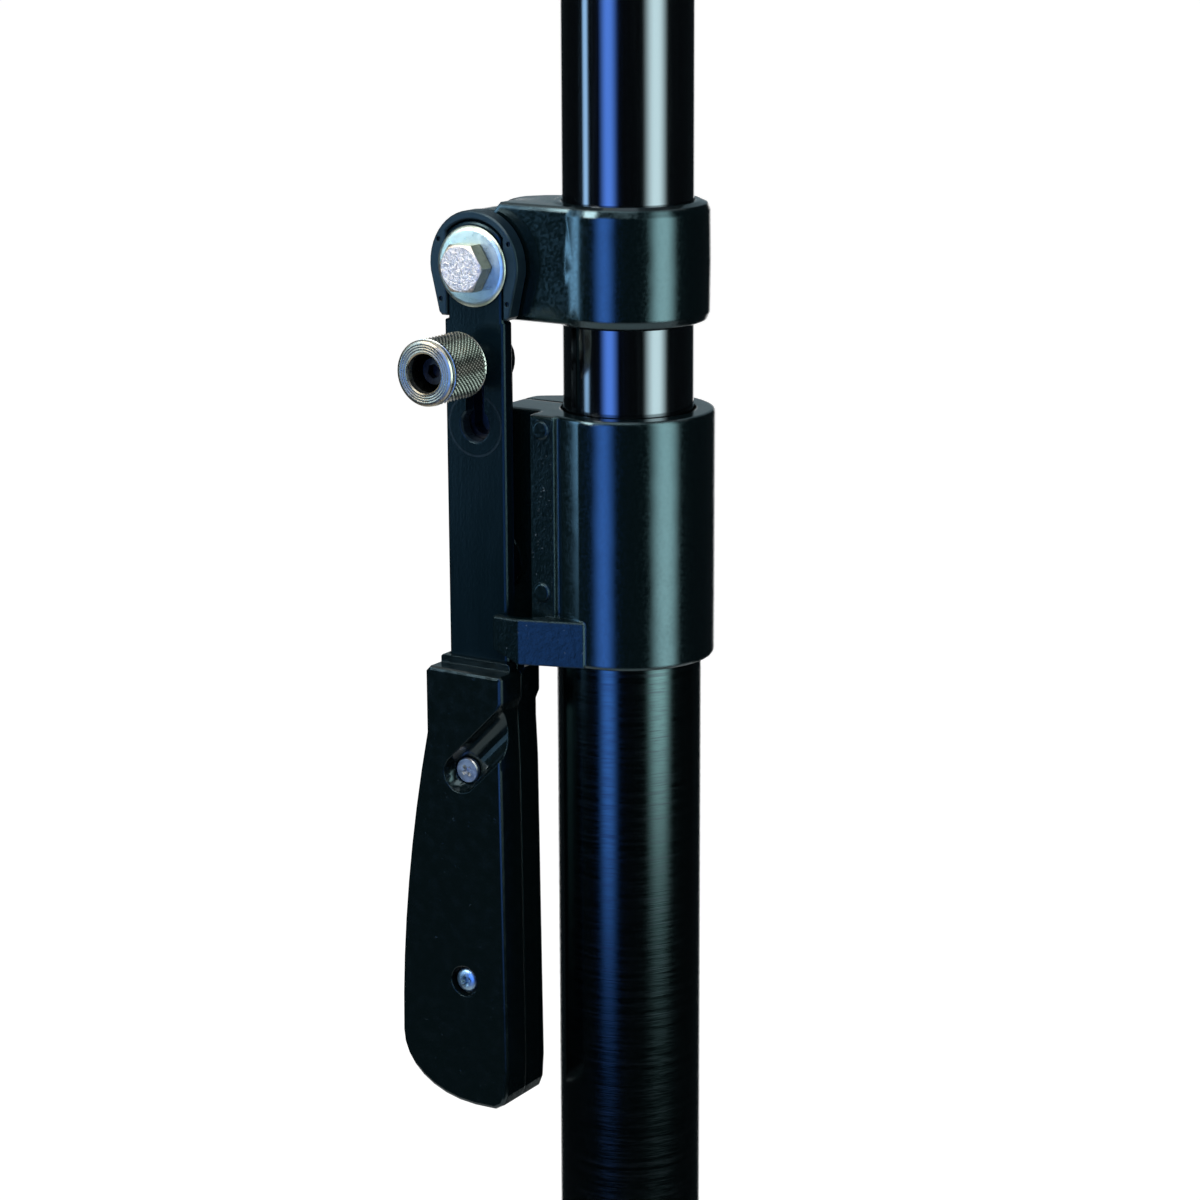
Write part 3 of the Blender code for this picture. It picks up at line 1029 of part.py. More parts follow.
def build_tube_glide(parent):
    """Nylon glide on the inner tube's foot; its flange also stops the tube at full reach."""
    bottom = inner_tube_bottom()
    flange_r = OUTER_BORE_R - SLIDE_FIT
    spigot_r = INNER_BORE_R - SLIDE_FIT
    foot, top = bottom - GLIDE_FLANGE_H, bottom + GLIDE_SPIGOT_H
    profile = [(GLIDE_BORE_R, foot), (flange_r - GLIDE_BEVEL, foot), (flange_r, foot + GLIDE_BEVEL)]
    profile += [(flange_r, bottom - TOUCH), (spigot_r, bottom - TOUCH), (spigot_r, top), (GLIDE_BORE_R, top)]
    add("tube_glide", turned(profile, segments=32), NYLON, parent)


def build():
    clear_scene()
    base = empty("pole_base", (0, 0, 0))
    collar = empty("collar_guide", (0, 0, UPPER_BOTTOM_Z))
    extension = empty("extension_guide", (0, 0, FOOT_Z), collar)
    lever = empty("lever_axis", (PIVOT_X, LEVER_MID_Y, PIVOT_Z), collar)
    link = empty("link_axis", (PIVOT_X, LEVER_BACK_Y, LINK_Z), lever)
    stud = empty("stud_axis", (PIVOT_X, LEVER_BACK_Y, LINK_Z), lever)
    knob = empty("knob_axis", (PIVOT_X, LEVER_FRONT_Y, LINK_Z), stud)

    tube_bottom = build_foot("floor", base, 0.0, 1, OUTER_TUBE_R, OUTER_BORE_R)
    build_outer_tube(base, tube_bottom)
    build_guide_bush(base)
    build_lower_casting(base)
    build_clamp_screws(base)
    build_anchor_pin(base)

    build_upper_casting(collar)
    build_pivot_bolt(collar)
    build_pivot_stack(collar)

    tube_top = build_foot("ceiling", extension, CLOSED_LENGTH, -1, INNER_TUBE_R, INNER_BORE_R)
    build_inner_tube(extension, CLOSED_LENGTH - tube_top)
    build_tube_glide(extension)

    build_lever_bar(lever)
    build_end_shroud(lever)
    build_grip_front(lever)
    build_grip_back(lever)
    build_grip_screws(lever)
    build_link(link)
    build_stud(stud)
    build_knob_spring(stud)
    build_knob(knob)


build()
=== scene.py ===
import bmesh
import bpy
import json
import math
from mathutils import Matrix, Vector

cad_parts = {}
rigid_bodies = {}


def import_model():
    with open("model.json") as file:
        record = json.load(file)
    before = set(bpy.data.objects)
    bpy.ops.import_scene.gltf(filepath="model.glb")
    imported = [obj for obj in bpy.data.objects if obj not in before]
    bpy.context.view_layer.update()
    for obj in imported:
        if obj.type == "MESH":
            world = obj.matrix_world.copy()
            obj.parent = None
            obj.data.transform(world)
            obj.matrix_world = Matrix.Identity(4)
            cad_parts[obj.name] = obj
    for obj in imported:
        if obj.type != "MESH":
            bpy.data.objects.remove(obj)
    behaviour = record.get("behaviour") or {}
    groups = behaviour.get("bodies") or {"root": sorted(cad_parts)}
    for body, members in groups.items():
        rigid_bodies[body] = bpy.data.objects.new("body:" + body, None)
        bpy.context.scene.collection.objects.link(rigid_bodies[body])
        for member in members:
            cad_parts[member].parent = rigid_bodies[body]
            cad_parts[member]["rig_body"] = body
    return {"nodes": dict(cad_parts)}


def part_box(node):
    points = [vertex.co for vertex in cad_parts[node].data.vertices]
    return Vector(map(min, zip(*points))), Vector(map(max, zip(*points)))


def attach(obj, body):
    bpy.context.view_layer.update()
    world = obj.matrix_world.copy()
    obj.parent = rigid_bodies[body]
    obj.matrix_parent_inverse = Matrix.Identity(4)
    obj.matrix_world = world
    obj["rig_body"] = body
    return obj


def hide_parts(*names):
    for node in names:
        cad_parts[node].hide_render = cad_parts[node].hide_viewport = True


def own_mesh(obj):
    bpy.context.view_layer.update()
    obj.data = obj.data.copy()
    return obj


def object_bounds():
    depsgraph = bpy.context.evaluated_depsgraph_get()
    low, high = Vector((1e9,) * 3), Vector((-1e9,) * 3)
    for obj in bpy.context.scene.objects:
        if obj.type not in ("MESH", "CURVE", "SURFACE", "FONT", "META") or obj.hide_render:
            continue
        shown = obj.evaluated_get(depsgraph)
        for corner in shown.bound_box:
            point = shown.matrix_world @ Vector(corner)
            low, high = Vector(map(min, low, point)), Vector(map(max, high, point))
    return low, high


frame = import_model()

CAD_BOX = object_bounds()
NODES = frame["nodes"]

# Places and sizes shared with the solids, in metres
PIVOT_X = -0.0363
PIVOT_Z = 1.36445
LINK_Z = 1.33565
KEYHOLE_Z = 1.31585
BOLT_TOP_Y = -0.0371
CHEEK_FRONT_Y = -0.0262
CHEEK_LEFT_X = -0.0194
CHEEK_RIGHT_X = -0.0105
CHEEK_PLAY = 0.0001
EAR_TOP_Z = 1.2579
EAR_ROOT_Y = -0.0274
EAR_PLAY = 0.0003
GRIP_SCREW_X = -0.0374
UPPER_SCREW_Z = PIVOT_Z - 0.1572
LOWER_SCREW_Z = PIVOT_Z - 0.2262

# Meshes: the distance that welds, the radius that closes a turned shape, and angles in degrees
WELD = 2e-6
AXIS_R = 0.00002
FLAT_ANGLE = 1.0
SOLID_SHARP = 18.0
TURNED_SHARP = 30.0

# Knob
KNOB_R = 0.0101
KNOB_HOLE_R = 0.0035
KNOB_NOSE_R = 0.0047
KNOB_NOSE_EASE = 0.0003
KNOB_BORE_R = 0.0059
KNOB_WALL_Y = -0.0350
KNOB_NOSE_Y = -0.0303
KNOB_SHOULDER_Y = -0.0371
KNOB_FACE_Y = -0.0563
KNURL_FRONT_Y = -0.0540
KNURL_BACK_Y = -0.0381
KNURL_COUNT = 48
KNURL_ROWS = 20
KNURL_DEPTH = 0.00040
KNOB_GROOVES = 3
KNOB_GROOVE_INSET = 0.0014
KNOB_GROOVE_PITCH = 0.00075
KNOB_GROOVE_FLANK = KNOB_GROOVE_PITCH * 0.35
KNOB_GROOVE_DEPTH = 0.00009
# Steps of its profile: how far inside the knob's radius, and where along Y
KNOB_BACK_EDGE = ((0.0010, KNOB_SHOULDER_Y), (0.0004, KNURL_BACK_Y + 0.0003))
KNOB_FRONT_RING = ((0.0006, KNURL_FRONT_Y - 0.0002), (0.0006, KNURL_FRONT_Y - 0.0004),
                   (0.0001, KNURL_FRONT_Y - 0.0008), (0.0001, KNOB_FACE_Y + 0.0008),
                   (0.0004, KNOB_FACE_Y + 0.0003), (0.0010, KNOB_FACE_Y + 0.00005),
                   (0.0013, KNOB_FACE_Y))
# Steps of its mouth: how far outside the bore, and how far behind the face
KNOB_MOUTH = ((0.0005, 0.0), (0.0001, 0.0003), (0.0, 0.0008))

# Front washer; its crown lists how far inside the rim and how far behind the face
WASHER_HOLE_R = 0.0043
WASHER_R = 0.0123
WASHER_HOLE_EASE = 0.0002
WASHER_BACK_EASE = 0.0001
WASHER_CROWN = ((0.0016, 0.00004), (0.0011, 0.00014), (0.0006, 0.00034), (0.0002, 0.00060), (0.0, 0.00085))
WASHER_SEGMENTS = 96

# Tubes
OUTER_TUBE_R = 0.0225
OUTER_TUBE_WALL = 0.0015
INNER_TUBE_R = 0.0200
INNER_TUBE_WALL = 0.0020
TUBE_EASE_SHARE = 0.25
TUBE_SEGMENTS = 144

# Grip screws; a crown lists the head's radii and their heights over its seat
SCREW_HEAD_R = 0.0040
SCREW_SHANK_R = 0.0019
SCREW_TIP_Y = -0.0200
SCREW_TIP_EASE = 0.0003
SCREW_HEAD_EASE = 0.0001
SCREW_SEGMENTS = 40
FLAT_CROWN = ((SCREW_HEAD_R, 0.0002), (SCREW_HEAD_R, 0.0011), (SCREW_HEAD_R - 0.0003, 0.0015),
              (AXIS_R, 0.0016))
PAN_CROWN = ((SCREW_HEAD_R, 0.0002), (SCREW_HEAD_R, 0.0013), (SCREW_HEAD_R - 0.0003, 0.0019),
             (SCREW_HEAD_R - 0.0009, 0.0023), (SCREW_HEAD_R - 0.0019, 0.0026), (AXIS_R, 0.0027))
CROSS_LENGTH = 0.0023
CROSS_WIDTH = 0.00060
CROSS_DEPTH = 0.0012
CROSS_LEAD = 0.0006
CROSS_MOUTH_SHARES = (1.15, 1.25)
CROSS_FLOOR_SHARES = (0.35, 0.55)

# Wear, marks, painted shade and painted light: rings as inner radius, outer radius and soft width, the rest
# as depths
RUB_RING = (0.0094, 0.0097, 0.0003)
KEYHOLE_EDGE = (0.0050, 0.0054, 0.0002)
KNURL_MARGIN = 0.0001
# Painted shade in the knurl's valleys: where it starts below the knob's radius, and the share of the knurl's
# depth where it is full
VALLEY_SHADE_START = 0.00006
VALLEY_SHADE_SHARE = 0.8
FACE_TONE_DEPTH = (0.0008, 0.0004)
# Depths behind the bolt's top over which its painted lit colour fades in
TOP_FACE_DEPTH = (0.0007, 0.0002)

# Colours of the finishes, linear
WHITE = (1.0, 1.0, 1.0)
COOL_TINT = (0.55, 0.90, 1.0)
PLASTIC_TINT = (0.60, 0.92, 1.0)
INNER_TUBE_BLACK = (0.085, 0.095, 0.105)
OUTER_TUBE_BLACK = (0.038, 0.060, 0.062)
OUTER_TUBE_STREAK = (0.034, 0.044, 0.050)
CASTING_BLACK = (0.0010, 0.0034, 0.0042)
CASTING_SPOT = (0.10, 0.13, 0.16)
LEVER_NAVY = (0.0010, 0.0042, 0.0070)
LEVER_RUB = (0.014, 0.022, 0.032)
LEVER_EDGE = (0.008, 0.015, 0.024)
GRIP_BLACK = (0.0013, 0.0034, 0.0042)
SHROUD_BLACK = (0.005, 0.013, 0.021)
FOOT_ZINC = (0.50, 0.56, 0.63)
WASHER_ZINC = (0.50, 0.56, 0.46)
BOLT_ZINC = (0.30, 0.31, 0.26)
# Painted light: the bolt's top face, much lighter and warmer than its sides
BOLT_TOP_PAINTED_LIGHT = (0.88, 0.72, 0.54)
BOLT_SCALE = (0.48, 0.41, 0.33)
UPPER_SCREW_ZINC = (0.46, 0.47, 0.46)
LOWER_SCREW_ZINC = (0.24, 0.36, 0.46)
KNOB_NICKEL = (0.36, 0.37, 0.33)
# Painted shade in the knurl's valleys
KNURL_VALLEY_SHADE = (0.030, 0.036, 0.030)
KNOB_FACE = (0.27, 0.24, 0.175)
STUD_STEEL = (0.10, 0.105, 0.11)
CAP_SCREW_BLACK = (0.026, 0.027, 0.028)
LINK_BLACK = (0.018, 0.020, 0.023)
PIN_STEEL = (0.34, 0.35, 0.37)
BUSH_BRONZE = (0.45, 0.30, 0.15)
RUBBER_BLACK = (0.020, 0.020, 0.021)
RUBBER_DUST = (0.045, 0.044, 0.042)
NYLON_GREY = (0.070, 0.070, 0.074)
NYLON_WORN = (0.11, 0.11, 0.115)

# Values between which most of a noise lies
NOISE_LOW, NOISE_HIGH = 0.25, 0.75

# Camera, from the photograph
CAMERA_AZIMUTH = 32.525
CAMERA_PITCH = 14.187
CAMERA_ROLL = -0.263
CAMERA_PLACE = (0.4902, -0.7854, 1.4934)
CAMERA_CLIP = (0.01, 200.0)
FOCAL_PIXELS = 3074
PHOTO_PIXELS = 1200
SENSOR = 36.0
LENS = FOCAL_PIXELS / PHOTO_PIXELS * SENSOR

# Stage, in metres; a panel's middle is a share of its width and height
PANEL_DISTANCE = 1.15
PANEL_MIDDLE = 0.5
FLAG_RADIUS = 1.5
FLAG_STEPS = 40
CLOTH_ROUGHNESS = 0.9
FLOOR_SIZE = 60.0
FLOOR_DROP = 0.0005
FLOOR_TONE = (0.80, 0.80, 0.80)
FLOOR_GLOW_REACH = (0.3, 3.0)
FLOOR_GLOW_LEVEL = (0.20, 0.57)
WORLD_LIGHT = 0.55


class Nodes:
    """Shader nodes of one tree, made and joined by short calls."""

    def __init__(self, tree):
        self.tree = tree

    def node(self, kind, values=None, **settings):
        """Add a node; values go to its sockets and settings to the node itself."""
        made = self.tree.nodes.new(kind)
        for key, value in settings.items():
            setattr(made, key, value)
        for socket, value in (values or {}).items():
            made.inputs[socket].default_value = value
        return made

    def link(self, source, target):
        self.tree.links.new(source, target)

    def math(self, operation, first, second=0.0):
        made = self.node("ShaderNodeMath", operation=operation)
        for socket, value in zip(made.inputs, (first, second)):
            if isinstance(value, (int, float)):
                socket.default_value = value
            else:
                self.link(value, socket)
        return made.outputs[0]

    def remap(self, source, low, high, to_low=0.0, to_high=1.0):
        values = {"From Min": low, "From Max": high, "To Min": to_low, "To Max": to_high}
        made = self.node("ShaderNodeMapRange", values, interpolation_type="SMOOTHSTEP")
        self.link(source, made.inputs["Value"])
        return made.outputs[0]

    def direct_sight(self):
        """1 for camera, glossy and transmission rays."""
        path = self.node("ShaderNodeLightPath")
        total = path.outputs["Is Camera Ray"]
        for kind in ("Is Glossy Ray", "Is Transmission Ray"):
            total = self.math("MAXIMUM", total, path.outputs[kind])
        return total


class Finish(Nodes):
    """A node material: one Principled shader, with bump, roughness and tone from textures."""

    def __init__(self, name, colour, roughness, metallic=0.0, specular=0.5, coat=0.0,
                 coat_roughness=0.05, edge_radius=0.0, tint=WHITE):
        self.made = bpy.data.materials.new(name)
        self.made.use_nodes = True
        super().__init__(self.made.node_tree)
        self.colour = colour
        self.normal = None
        if edge_radius:
            soft = self.node("ShaderNodeBevel", {"Radius": edge_radius}, samples=4)
            self.normal = soft.outputs["Normal"]
        values = {"Base Color": (*colour, 1.0), "Roughness": roughness, "Metallic": metallic,
                  "Specular IOR Level": specular, "Specular Tint": (*tint, 1.0),
                  "Coat Weight": coat, "Coat Roughness": coat_roughness}
        self.shader = self.tree.nodes["Principled BSDF"]
        for socket, value in values.items():
            self.shader.inputs[socket].default_value = value
        self.place = self.node("ShaderNodeTexCoord").outputs["Object"]

    def noise(self, scale, detail=2.0, rough=0.5, stretch=(1, 1, 1)):
        """Noise of so many lumps to the metre, drawn out along the axes whose stretch is below 1."""
        mapping = self.node("ShaderNodeMapping", {"Scale": stretch})
        self.link(self.place, mapping.inputs["Vector"])
        made = self.node("ShaderNodeTexNoise", {"Scale": scale, "Detail": detail, "Roughness": rough})
        self.link(mapping.outputs[0], made.inputs["Vector"])
        return made.outputs["Fac"]

    def cells(self, scale):
        made = self.node("ShaderNodeTexVoronoi", {"Scale": scale})
        self.link(self.place, made.inputs["Vector"])
        return made.outputs["Distance"]

    def along(self, axis):
        parts = self.node("ShaderNodeSeparateXYZ")
        self.link(self.place, parts.inputs[0])
        return parts.outputs[axis]

    def from_axis(self, x, z):
        """Distance from a line along Y through (x, z)."""
        across = self.math("SUBTRACT", self.along("X"), x)
        up = self.math("SUBTRACT", self.along("Z"), z)
        across_squared = self.math("MULTIPLY", across, across)
        up_squared = self.math("MULTIPLY", up, up)
        return self.math("SQRT", self.math("ADD", across_squared, up_squared))

    def lines(self, source, scale):
        """Fine one-dimensional noise along a measured distance, as turning or brushing leaves."""
        made = self.node("ShaderNodeTexNoise", {"Scale": scale, "Detail": 3.0}, noise_dimensions="1D")
        self.link(source, made.inputs["W"])
        return made.outputs["Fac"]

    def band(self, source, low, high, soft):
        """1 between low and high, falling to 0 over soft on both sides."""
        rise = self.remap(source, low - soft, low)
        fall = self.remap(source, high, high + soft, 1.0, 0.0)
        return self.math("MULTIPLY", rise, fall)

    def bump(self, height, distance, strength):
        made = self.node("ShaderNodeBump", {"Distance": distance, "Strength": strength})
        self.link(height, made.inputs["Height"])
        if self.normal:
            self.link(self.normal, made.inputs["Normal"])
        self.normal = made.outputs["Normal"]
        self.link(self.normal, self.shader.inputs["Normal"])

    def vary_roughness(self, source, low, high):
        varied = self.remap(source, NOISE_LOW, NOISE_HIGH, low, high)
        self.link(varied, self.shader.inputs["Roughness"])

    def vary_tone(self, mask, other):
        """Mix the base colour towards another one where the mask is high."""
        mix = self.node("ShaderNodeMix", data_type="RGBA")
        current = self.shader.inputs["Base Color"]
        if current.is_linked:
            self.link(current.links[0].from_socket, mix.inputs["A"])
        else:
            mix.inputs["A"].default_value = (*self.colour, 1.0)
        mix.inputs["B"].default_value = (*other, 1.0)
        self.link(mask, mix.inputs["Factor"])
        self.link(mix.outputs["Result"], current)


def shaded(colour, share):
    return tuple(channel * share for channel in colour)


def gloss_tube():
    """Inner tube: hard glossy black with a trace of long polishing lines."""
    finish = Finish("inner_tube_gloss", INNER_TUBE_BLACK, 0.10, metallic=1.0, coat=0.25, coat_roughness=0.06)
    long_lines = finish.noise(900, detail=3.0, stretch=(1.0, 1.0, 0.02))
    finish.vary_roughness(long_lines, 0.09, 0.15)
    waves = finish.noise(45, detail=1.0, stretch=(1.0, 1.0, 0.3))
    finish.bump(waves, distance=0.00012, strength=0.35)
    return finish.made


def brushed_tube():
    """Outer tube: satin black, brushed round its girth."""
    finish = Finish("outer_tube_satin", OUTER_TUBE_BLACK, 0.22, metallic=1.0)
    height = finish.along("Z")
    fine = finish.lines(height, 2600)
    coarse = finish.lines(height, 520)
    broken = finish.noise(150, detail=4.0, rough=0.7, stretch=(1.0, 1.0, 14.0))
    streak = finish.math("MULTIPLY", finish.math("ADD", fine, coarse), broken)
    finish.vary_roughness(streak, 0.10, 0.24)
    finish.bump(finish.math("MULTIPLY", fine, broken), distance=0.00003, strength=0.5)
    finish.vary_tone(finish.remap(streak, 0.45, 0.75), OUTER_TUBE_STREAK)
    return finish.made


def casting_paint():
    """Glossy black paint over a casting, with slow waves and small pits."""
    finish = Finish("casting_paint", CASTING_BLACK, 0.15, specular=0.62, coat=0.10, coat_roughness=0.09,
                    edge_radius=0.0010, tint=COOL_TINT)
    finish.bump(finish.noise(95, detail=1.0), distance=0.0005, strength=0.22)
    pits = finish.remap(finish.cells(300), 0.02, 0.10)
    finish.bump(pits, distance=0.00004, strength=0.25)
    finish.vary_roughness(finish.noise(1100), 0.10, 0.22)
    return finish.made


def rough_casting_paint():
    """Duller paint over the coarse skin of the cheek panel and the guard ear."""
    finish = Finish("rough_casting_paint", CASTING_BLACK, 0.20, specular=0.22, coat_roughness=0.09,
                    edge_radius=0.0006, tint=COOL_TINT)
    finish.bump(finish.noise(400, detail=4.0, rough=0.7), distance=0.0009, strength=0.20)
    finish.vary_roughness(finish.noise(1100), 0.14, 0.26)
    spots = finish.remap(finish.noise(900, detail=3.0, rough=0.7), 0.68, 0.74)
    finish.vary_tone(spots, CASTING_SPOT)
    return finish.made


def lever_paint():
    """Lever bar: dark navy satin, rubbed in a ring where the knob's shoulder lands."""
    finish = Finish("lever_paint", LEVER_NAVY, 0.20, specular=0.20, coat_roughness=0.14,
                    edge_radius=0.0004, tint=COOL_TINT)
    distance = finish.from_axis(PIVOT_X, KEYHOLE_Z)
    rub = finish.math("MULTIPLY", finish.band(distance, *RUB_RING), finish.noise(500, detail=3.0))
    finish.vary_tone(rub, LEVER_RUB)
    drawn = finish.noise(500, detail=3.0, stretch=(1.0, 1.0, 0.06))
    finish.bump(drawn, distance=0.00006, strength=0.35)
    finish.bump(finish.noise(900, detail=3.0, rough=0.65), distance=0.00010, strength=0.35)
    finish.vary_roughness(finish.noise(60, detail=3.0, stretch=(1.0, 1.0, 0.3)), 0.15, 0.25)
    finish.vary_tone(finish.band(distance, *KEYHOLE_EDGE), LEVER_EDGE)
    return finish.made


def moulded(name, colour, roughness, grain):
    """Moulded plastic with a fine grain, moulding flecks and faint handling marks."""
    finish = Finish(name, colour, roughness, specular=0.30, coat=0.10, coat_roughness=0.08,
                    edge_radius=0.0005, tint=PLASTIC_TINT)
    finish.bump(finish.noise(60, detail=1.0), distance=0.0005, strength=0.06)
    finish.bump(finish.noise(1500), distance=0.00005, strength=grain)
    flecks = finish.remap(finish.noise(420, detail=4.0, rough=0.75), 0.67, 0.74)
    finish.bump(flecks, distance=0.00012, strength=0.5)
    finish.vary_roughness(finish.noise(260, detail=3.0), roughness - 0.05, roughness + 0.10)
    marks = finish.remap(finish.noise(800, detail=4.0, rough=0.8), 0.70, 0.80)
    finish.vary_tone(marks, shaded(colour, 3.5))
    return finish.made


def zinc(name, centre, colour):
    """Bright zinc with turning rings about an axis, as a finish that can still be added to."""
    finish = Finish(name, colour, 0.26, metallic=1.0)
    finish.bump(finish.lines(finish.from_axis(*centre), 3200), distance=0.00003, strength=0.35)
    finish.bump(finish.noise(1900, detail=4.0, rough=0.7), distance=0.00009, strength=0.6)
    finish.vary_roughness(finish.noise(620, detail=4.0, rough=0.7), 0.26, 0.46)
    dulled = finish.remap(finish.noise(330, detail=4.0, rough=0.7), 0.42, 0.72)
    finish.vary_tone(dulled, shaded(colour, 0.80))
    return finish


def lit_top_zinc(name, centre, colour):
    """Zinc whose top face is painted much lighter and warmer than its sides, as lit, with a hammered bump
    and partly scaled.
    """
    finish = zinc(name, centre, colour)
    top = finish.remap(finish.along("Y"), *(BOLT_TOP_Y + depth for depth in TOP_FACE_DEPTH))
    # Painted light: the top face is coloured lighter and warmer than the sides, as lit
    finish.vary_tone(top, BOLT_TOP_PAINTED_LIGHT)
    hammered = finish.math("MULTIPLY", finish.noise(950, detail=4.0, rough=0.7), top)
    finish.bump(hammered, distance=0.00045, strength=0.60)
    scale = finish.remap(finish.noise(1000, detail=5.0, rough=0.8), 0.44, 0.60)
    finish.vary_tone(finish.math("MULTIPLY", scale, top), BOLT_SCALE)
    return finish.made


def turned_metal(name, colour, roughness, knurled=False):
    """Turned nickel or steel: close lines round the knob's axis and a little tarnish; when knurled, painted
    shade darkens the knurl's valleys and the front face gets its own tone.
    """
    finish = Finish(name, colour, roughness, metallic=1.0)
    distance = finish.from_axis(PIVOT_X, LINK_Z)
    if knurled:
        rows = finish.band(finish.along("Y"), KNURL_FRONT_Y, KNURL_BACK_Y, KNURL_MARGIN)
        # Painted shade: the knurl's valleys are darkened towards their bottoms
        valley_shade = finish.remap(distance, KNOB_R - VALLEY_SHADE_START, KNOB_R - KNURL_DEPTH * VALLEY_SHADE_SHARE)
        finish.vary_tone(finish.math("MULTIPLY", valley_shade, rows), KNURL_VALLEY_SHADE)
        face = finish.remap(finish.along("Y"), *(KNOB_FACE_Y + depth for depth in FACE_TONE_DEPTH))
        finish.vary_tone(face, KNOB_FACE)
    finish.bump(finish.lines(distance, 2600), distance=0.00004, strength=0.45)
    finish.bump(finish.noise(1400, detail=3.0), distance=0.00003, strength=0.2)
    finish.vary_roughness(finish.noise(700, detail=3.0), roughness - 0.06, roughness + 0.08)
    tarnish = finish.remap(finish.noise(240, detail=4.0, rough=0.7), 0.50, 0.85)
    finish.vary_tone(tarnish, shaded(colour, 0.75))
    return finish.made


def plain_metal(name, colour, roughness):
    """Metal without a direction, a little uneven in gloss and tone."""
    finish = Finish(name, colour, roughness, metallic=1.0)
    finish.bump(finish.noise(1300, detail=3.0), distance=0.00006, strength=0.4)
    finish.vary_roughness(finish.noise(500, detail=3.0), roughness - 0.08, roughness + 0.14)
    finish.vary_tone(finish.remap(finish.noise(200, detail=3.0), 0.45, 0.75), shaded(colour, 0.6))
    return finish.made


def rubber():
    """Foot rubber, dusty in patches."""
    finish = Finish("foot_rubber", RUBBER_BLACK, 0.72, specular=0.35)
    finish.bump(finish.noise(900, detail=3.0, rough=0.7), distance=0.00012, strength=0.5)
    finish.vary_roughness(finish.noise(120, detail=3.0), 0.62, 0.86)
    finish.vary_tone(finish.remap(finish.noise(160, detail=4.0, rough=0.7), 0.52, 0.80), RUBBER_DUST)
    return finish.made


def nylon():
    """Dark nylon of the bushes and plugs, turned round the pole."""
    finish = Finish("bush_nylon", NYLON_GREY, 0.46, specular=0.45)
    finish.bump(finish.lines(finish.along("Z"), 2200), distance=0.00003, strength=0.3)
    finish.vary_roughness(finish.noise(300, detail=3.0), 0.38, 0.58)
    finish.vary_tone(finish.remap(finish.noise(140, detail=3.0), 0.5, 0.8), NYLON_WORN)
    return finish.made


def mesh_from(name, bm):
    """Turn a bmesh into a mesh and free it."""
    mesh = bpy.data.meshes.new(name)
    bm.to_mesh(mesh)
    bm.free()
    return mesh


def put(name, data):
    """Make an object of a mesh, lamp or camera and put it into the scene."""
    made = bpy.data.objects.new(name, data)
    bpy.context.scene.collection.objects.link(made)
    return made


def smooth(mesh, sharp):
    """Smooth-shade a mesh, apart from edges over an angle in degrees."""
    mesh.shade_smooth()
    mesh.set_sharp_from_angle(angle=math.radians(sharp))


def piece(name, bm, finish, body, node, sharp=TURNED_SHARP):
    """Make a finished piece that rides on a body and stands in a node's place."""
    bmesh.ops.remove_doubles(bm, verts=bm.verts, dist=WELD)
    bmesh.ops.recalc_face_normals(bm, faces=bm.faces)
    mesh = mesh_from(name, bm)
    made = put(name, mesh)
    mesh.materials.append(finish)
    smooth(mesh, sharp)
    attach(made, body)
    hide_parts(node)
    return made


def solid_form(node):
    """A copy of a solid's mesh, to work on."""
    bm = bmesh.new()
    bm.from_mesh(NODES[node].data)
    return bm


def dress(finish, *names):
    """Stand a smooth-shaded, finished piece in each node's place."""
    for name in names:
        bm = solid_form(name)
        bmesh.ops.remove_doubles(bm, verts=bm.verts, dist=WELD)
        bmesh.ops.dissolve_limit(bm, angle_limit=math.radians(FLAT_ANGLE), verts=bm.verts, edges=bm.edges)
        made = piece(f"finished_{name}", bm, finish, NODES[name]["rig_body"], name, SOLID_SHARP)
        even = made.modifiers.new("even_shading", "WEIGHTED_NORMAL")
        even.keep_sharp = True


def coarse_skin(centre):
    """Whether a face of the lower casting belongs to the cheek panel or the guard ear."""
    cheek = abs(centre.y - CHEEK_FRONT_Y) < CHEEK_PLAY and CHEEK_LEFT_X < centre.x < CHEEK_RIGHT_X
    ear = centre.y < EAR_ROOT_Y and centre.z < EAR_TOP_Z + EAR_PLAY
    return cheek or ear


def roughen_lower_casting():
    """Give the lower casting's coarse faces their duller paint."""
    casting = bpy.data.meshes["finished_lower_casting"]
    casting.materials.append(rough_casting_paint())
    for face in casting.polygons:
        face.material_index = int(coarse_skin(face.center))


def spun(rows, centre, segments, radius_at=None):
    """Join rings of (radius, y) round a line along Y, closed from the last ring to the first.

    With radius_at, which gives each corner its own radius, the faces are triangles in a diamond pattern.
    """
    bm = bmesh.new()
    rings = []
    for row, (radius, y) in enumerate(rows):
        ring = []
        for i in range(segments):
            angle = math.tau * i / segments
            r = radius_at(row, i, radius) if radius_at else radius
            spot = (centre[0] + r * math.cos(angle), y, centre[1] + r * math.sin(angle))
            ring.append(bm.verts.new(spot))
        rings.append(ring)
    for row, ring in enumerate(rings):
        after = rings[(row + 1) % len(rings)]
        for i in range(segments):
            j = (i + 1) % segments
            a, b, c, d = ring[i], ring[j], after[j], after[i]
            if radius_at is None:
                faces = ((a, b, c, d),)
            elif (row + i) % 2:
                faces = ((a, b, d), (b, c, d))
            else:
                faces = ((a, b, c), (a, c, d))
            for corners in faces:
                bm.faces.new(corners)
    return bm


def tube(name, node, body, outer_r, wall, finish):
    """A round tube in a node's place, with many faces and eased ends."""
    low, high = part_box(node)
    ease = wall * TUBE_EASE_SHARE
    rows = [(outer_r - wall, low.z + ease), (outer_r - wall + ease, low.z), (outer_r - ease, low.z)]
    rows += [(outer_r, low.z + ease), (outer_r, high.z - ease), (outer_r - ease, high.z)]
    rows += [(outer_r - wall + ease, high.z), (outer_r - wall, high.z - ease)]
    lying = spun([(radius, -z) for radius, z in rows], (0, 0), TUBE_SEGMENTS)
    lying.transform(Matrix.Rotation(math.radians(-90), 4, "X"))
    piece(name, lying, finish, body, node)


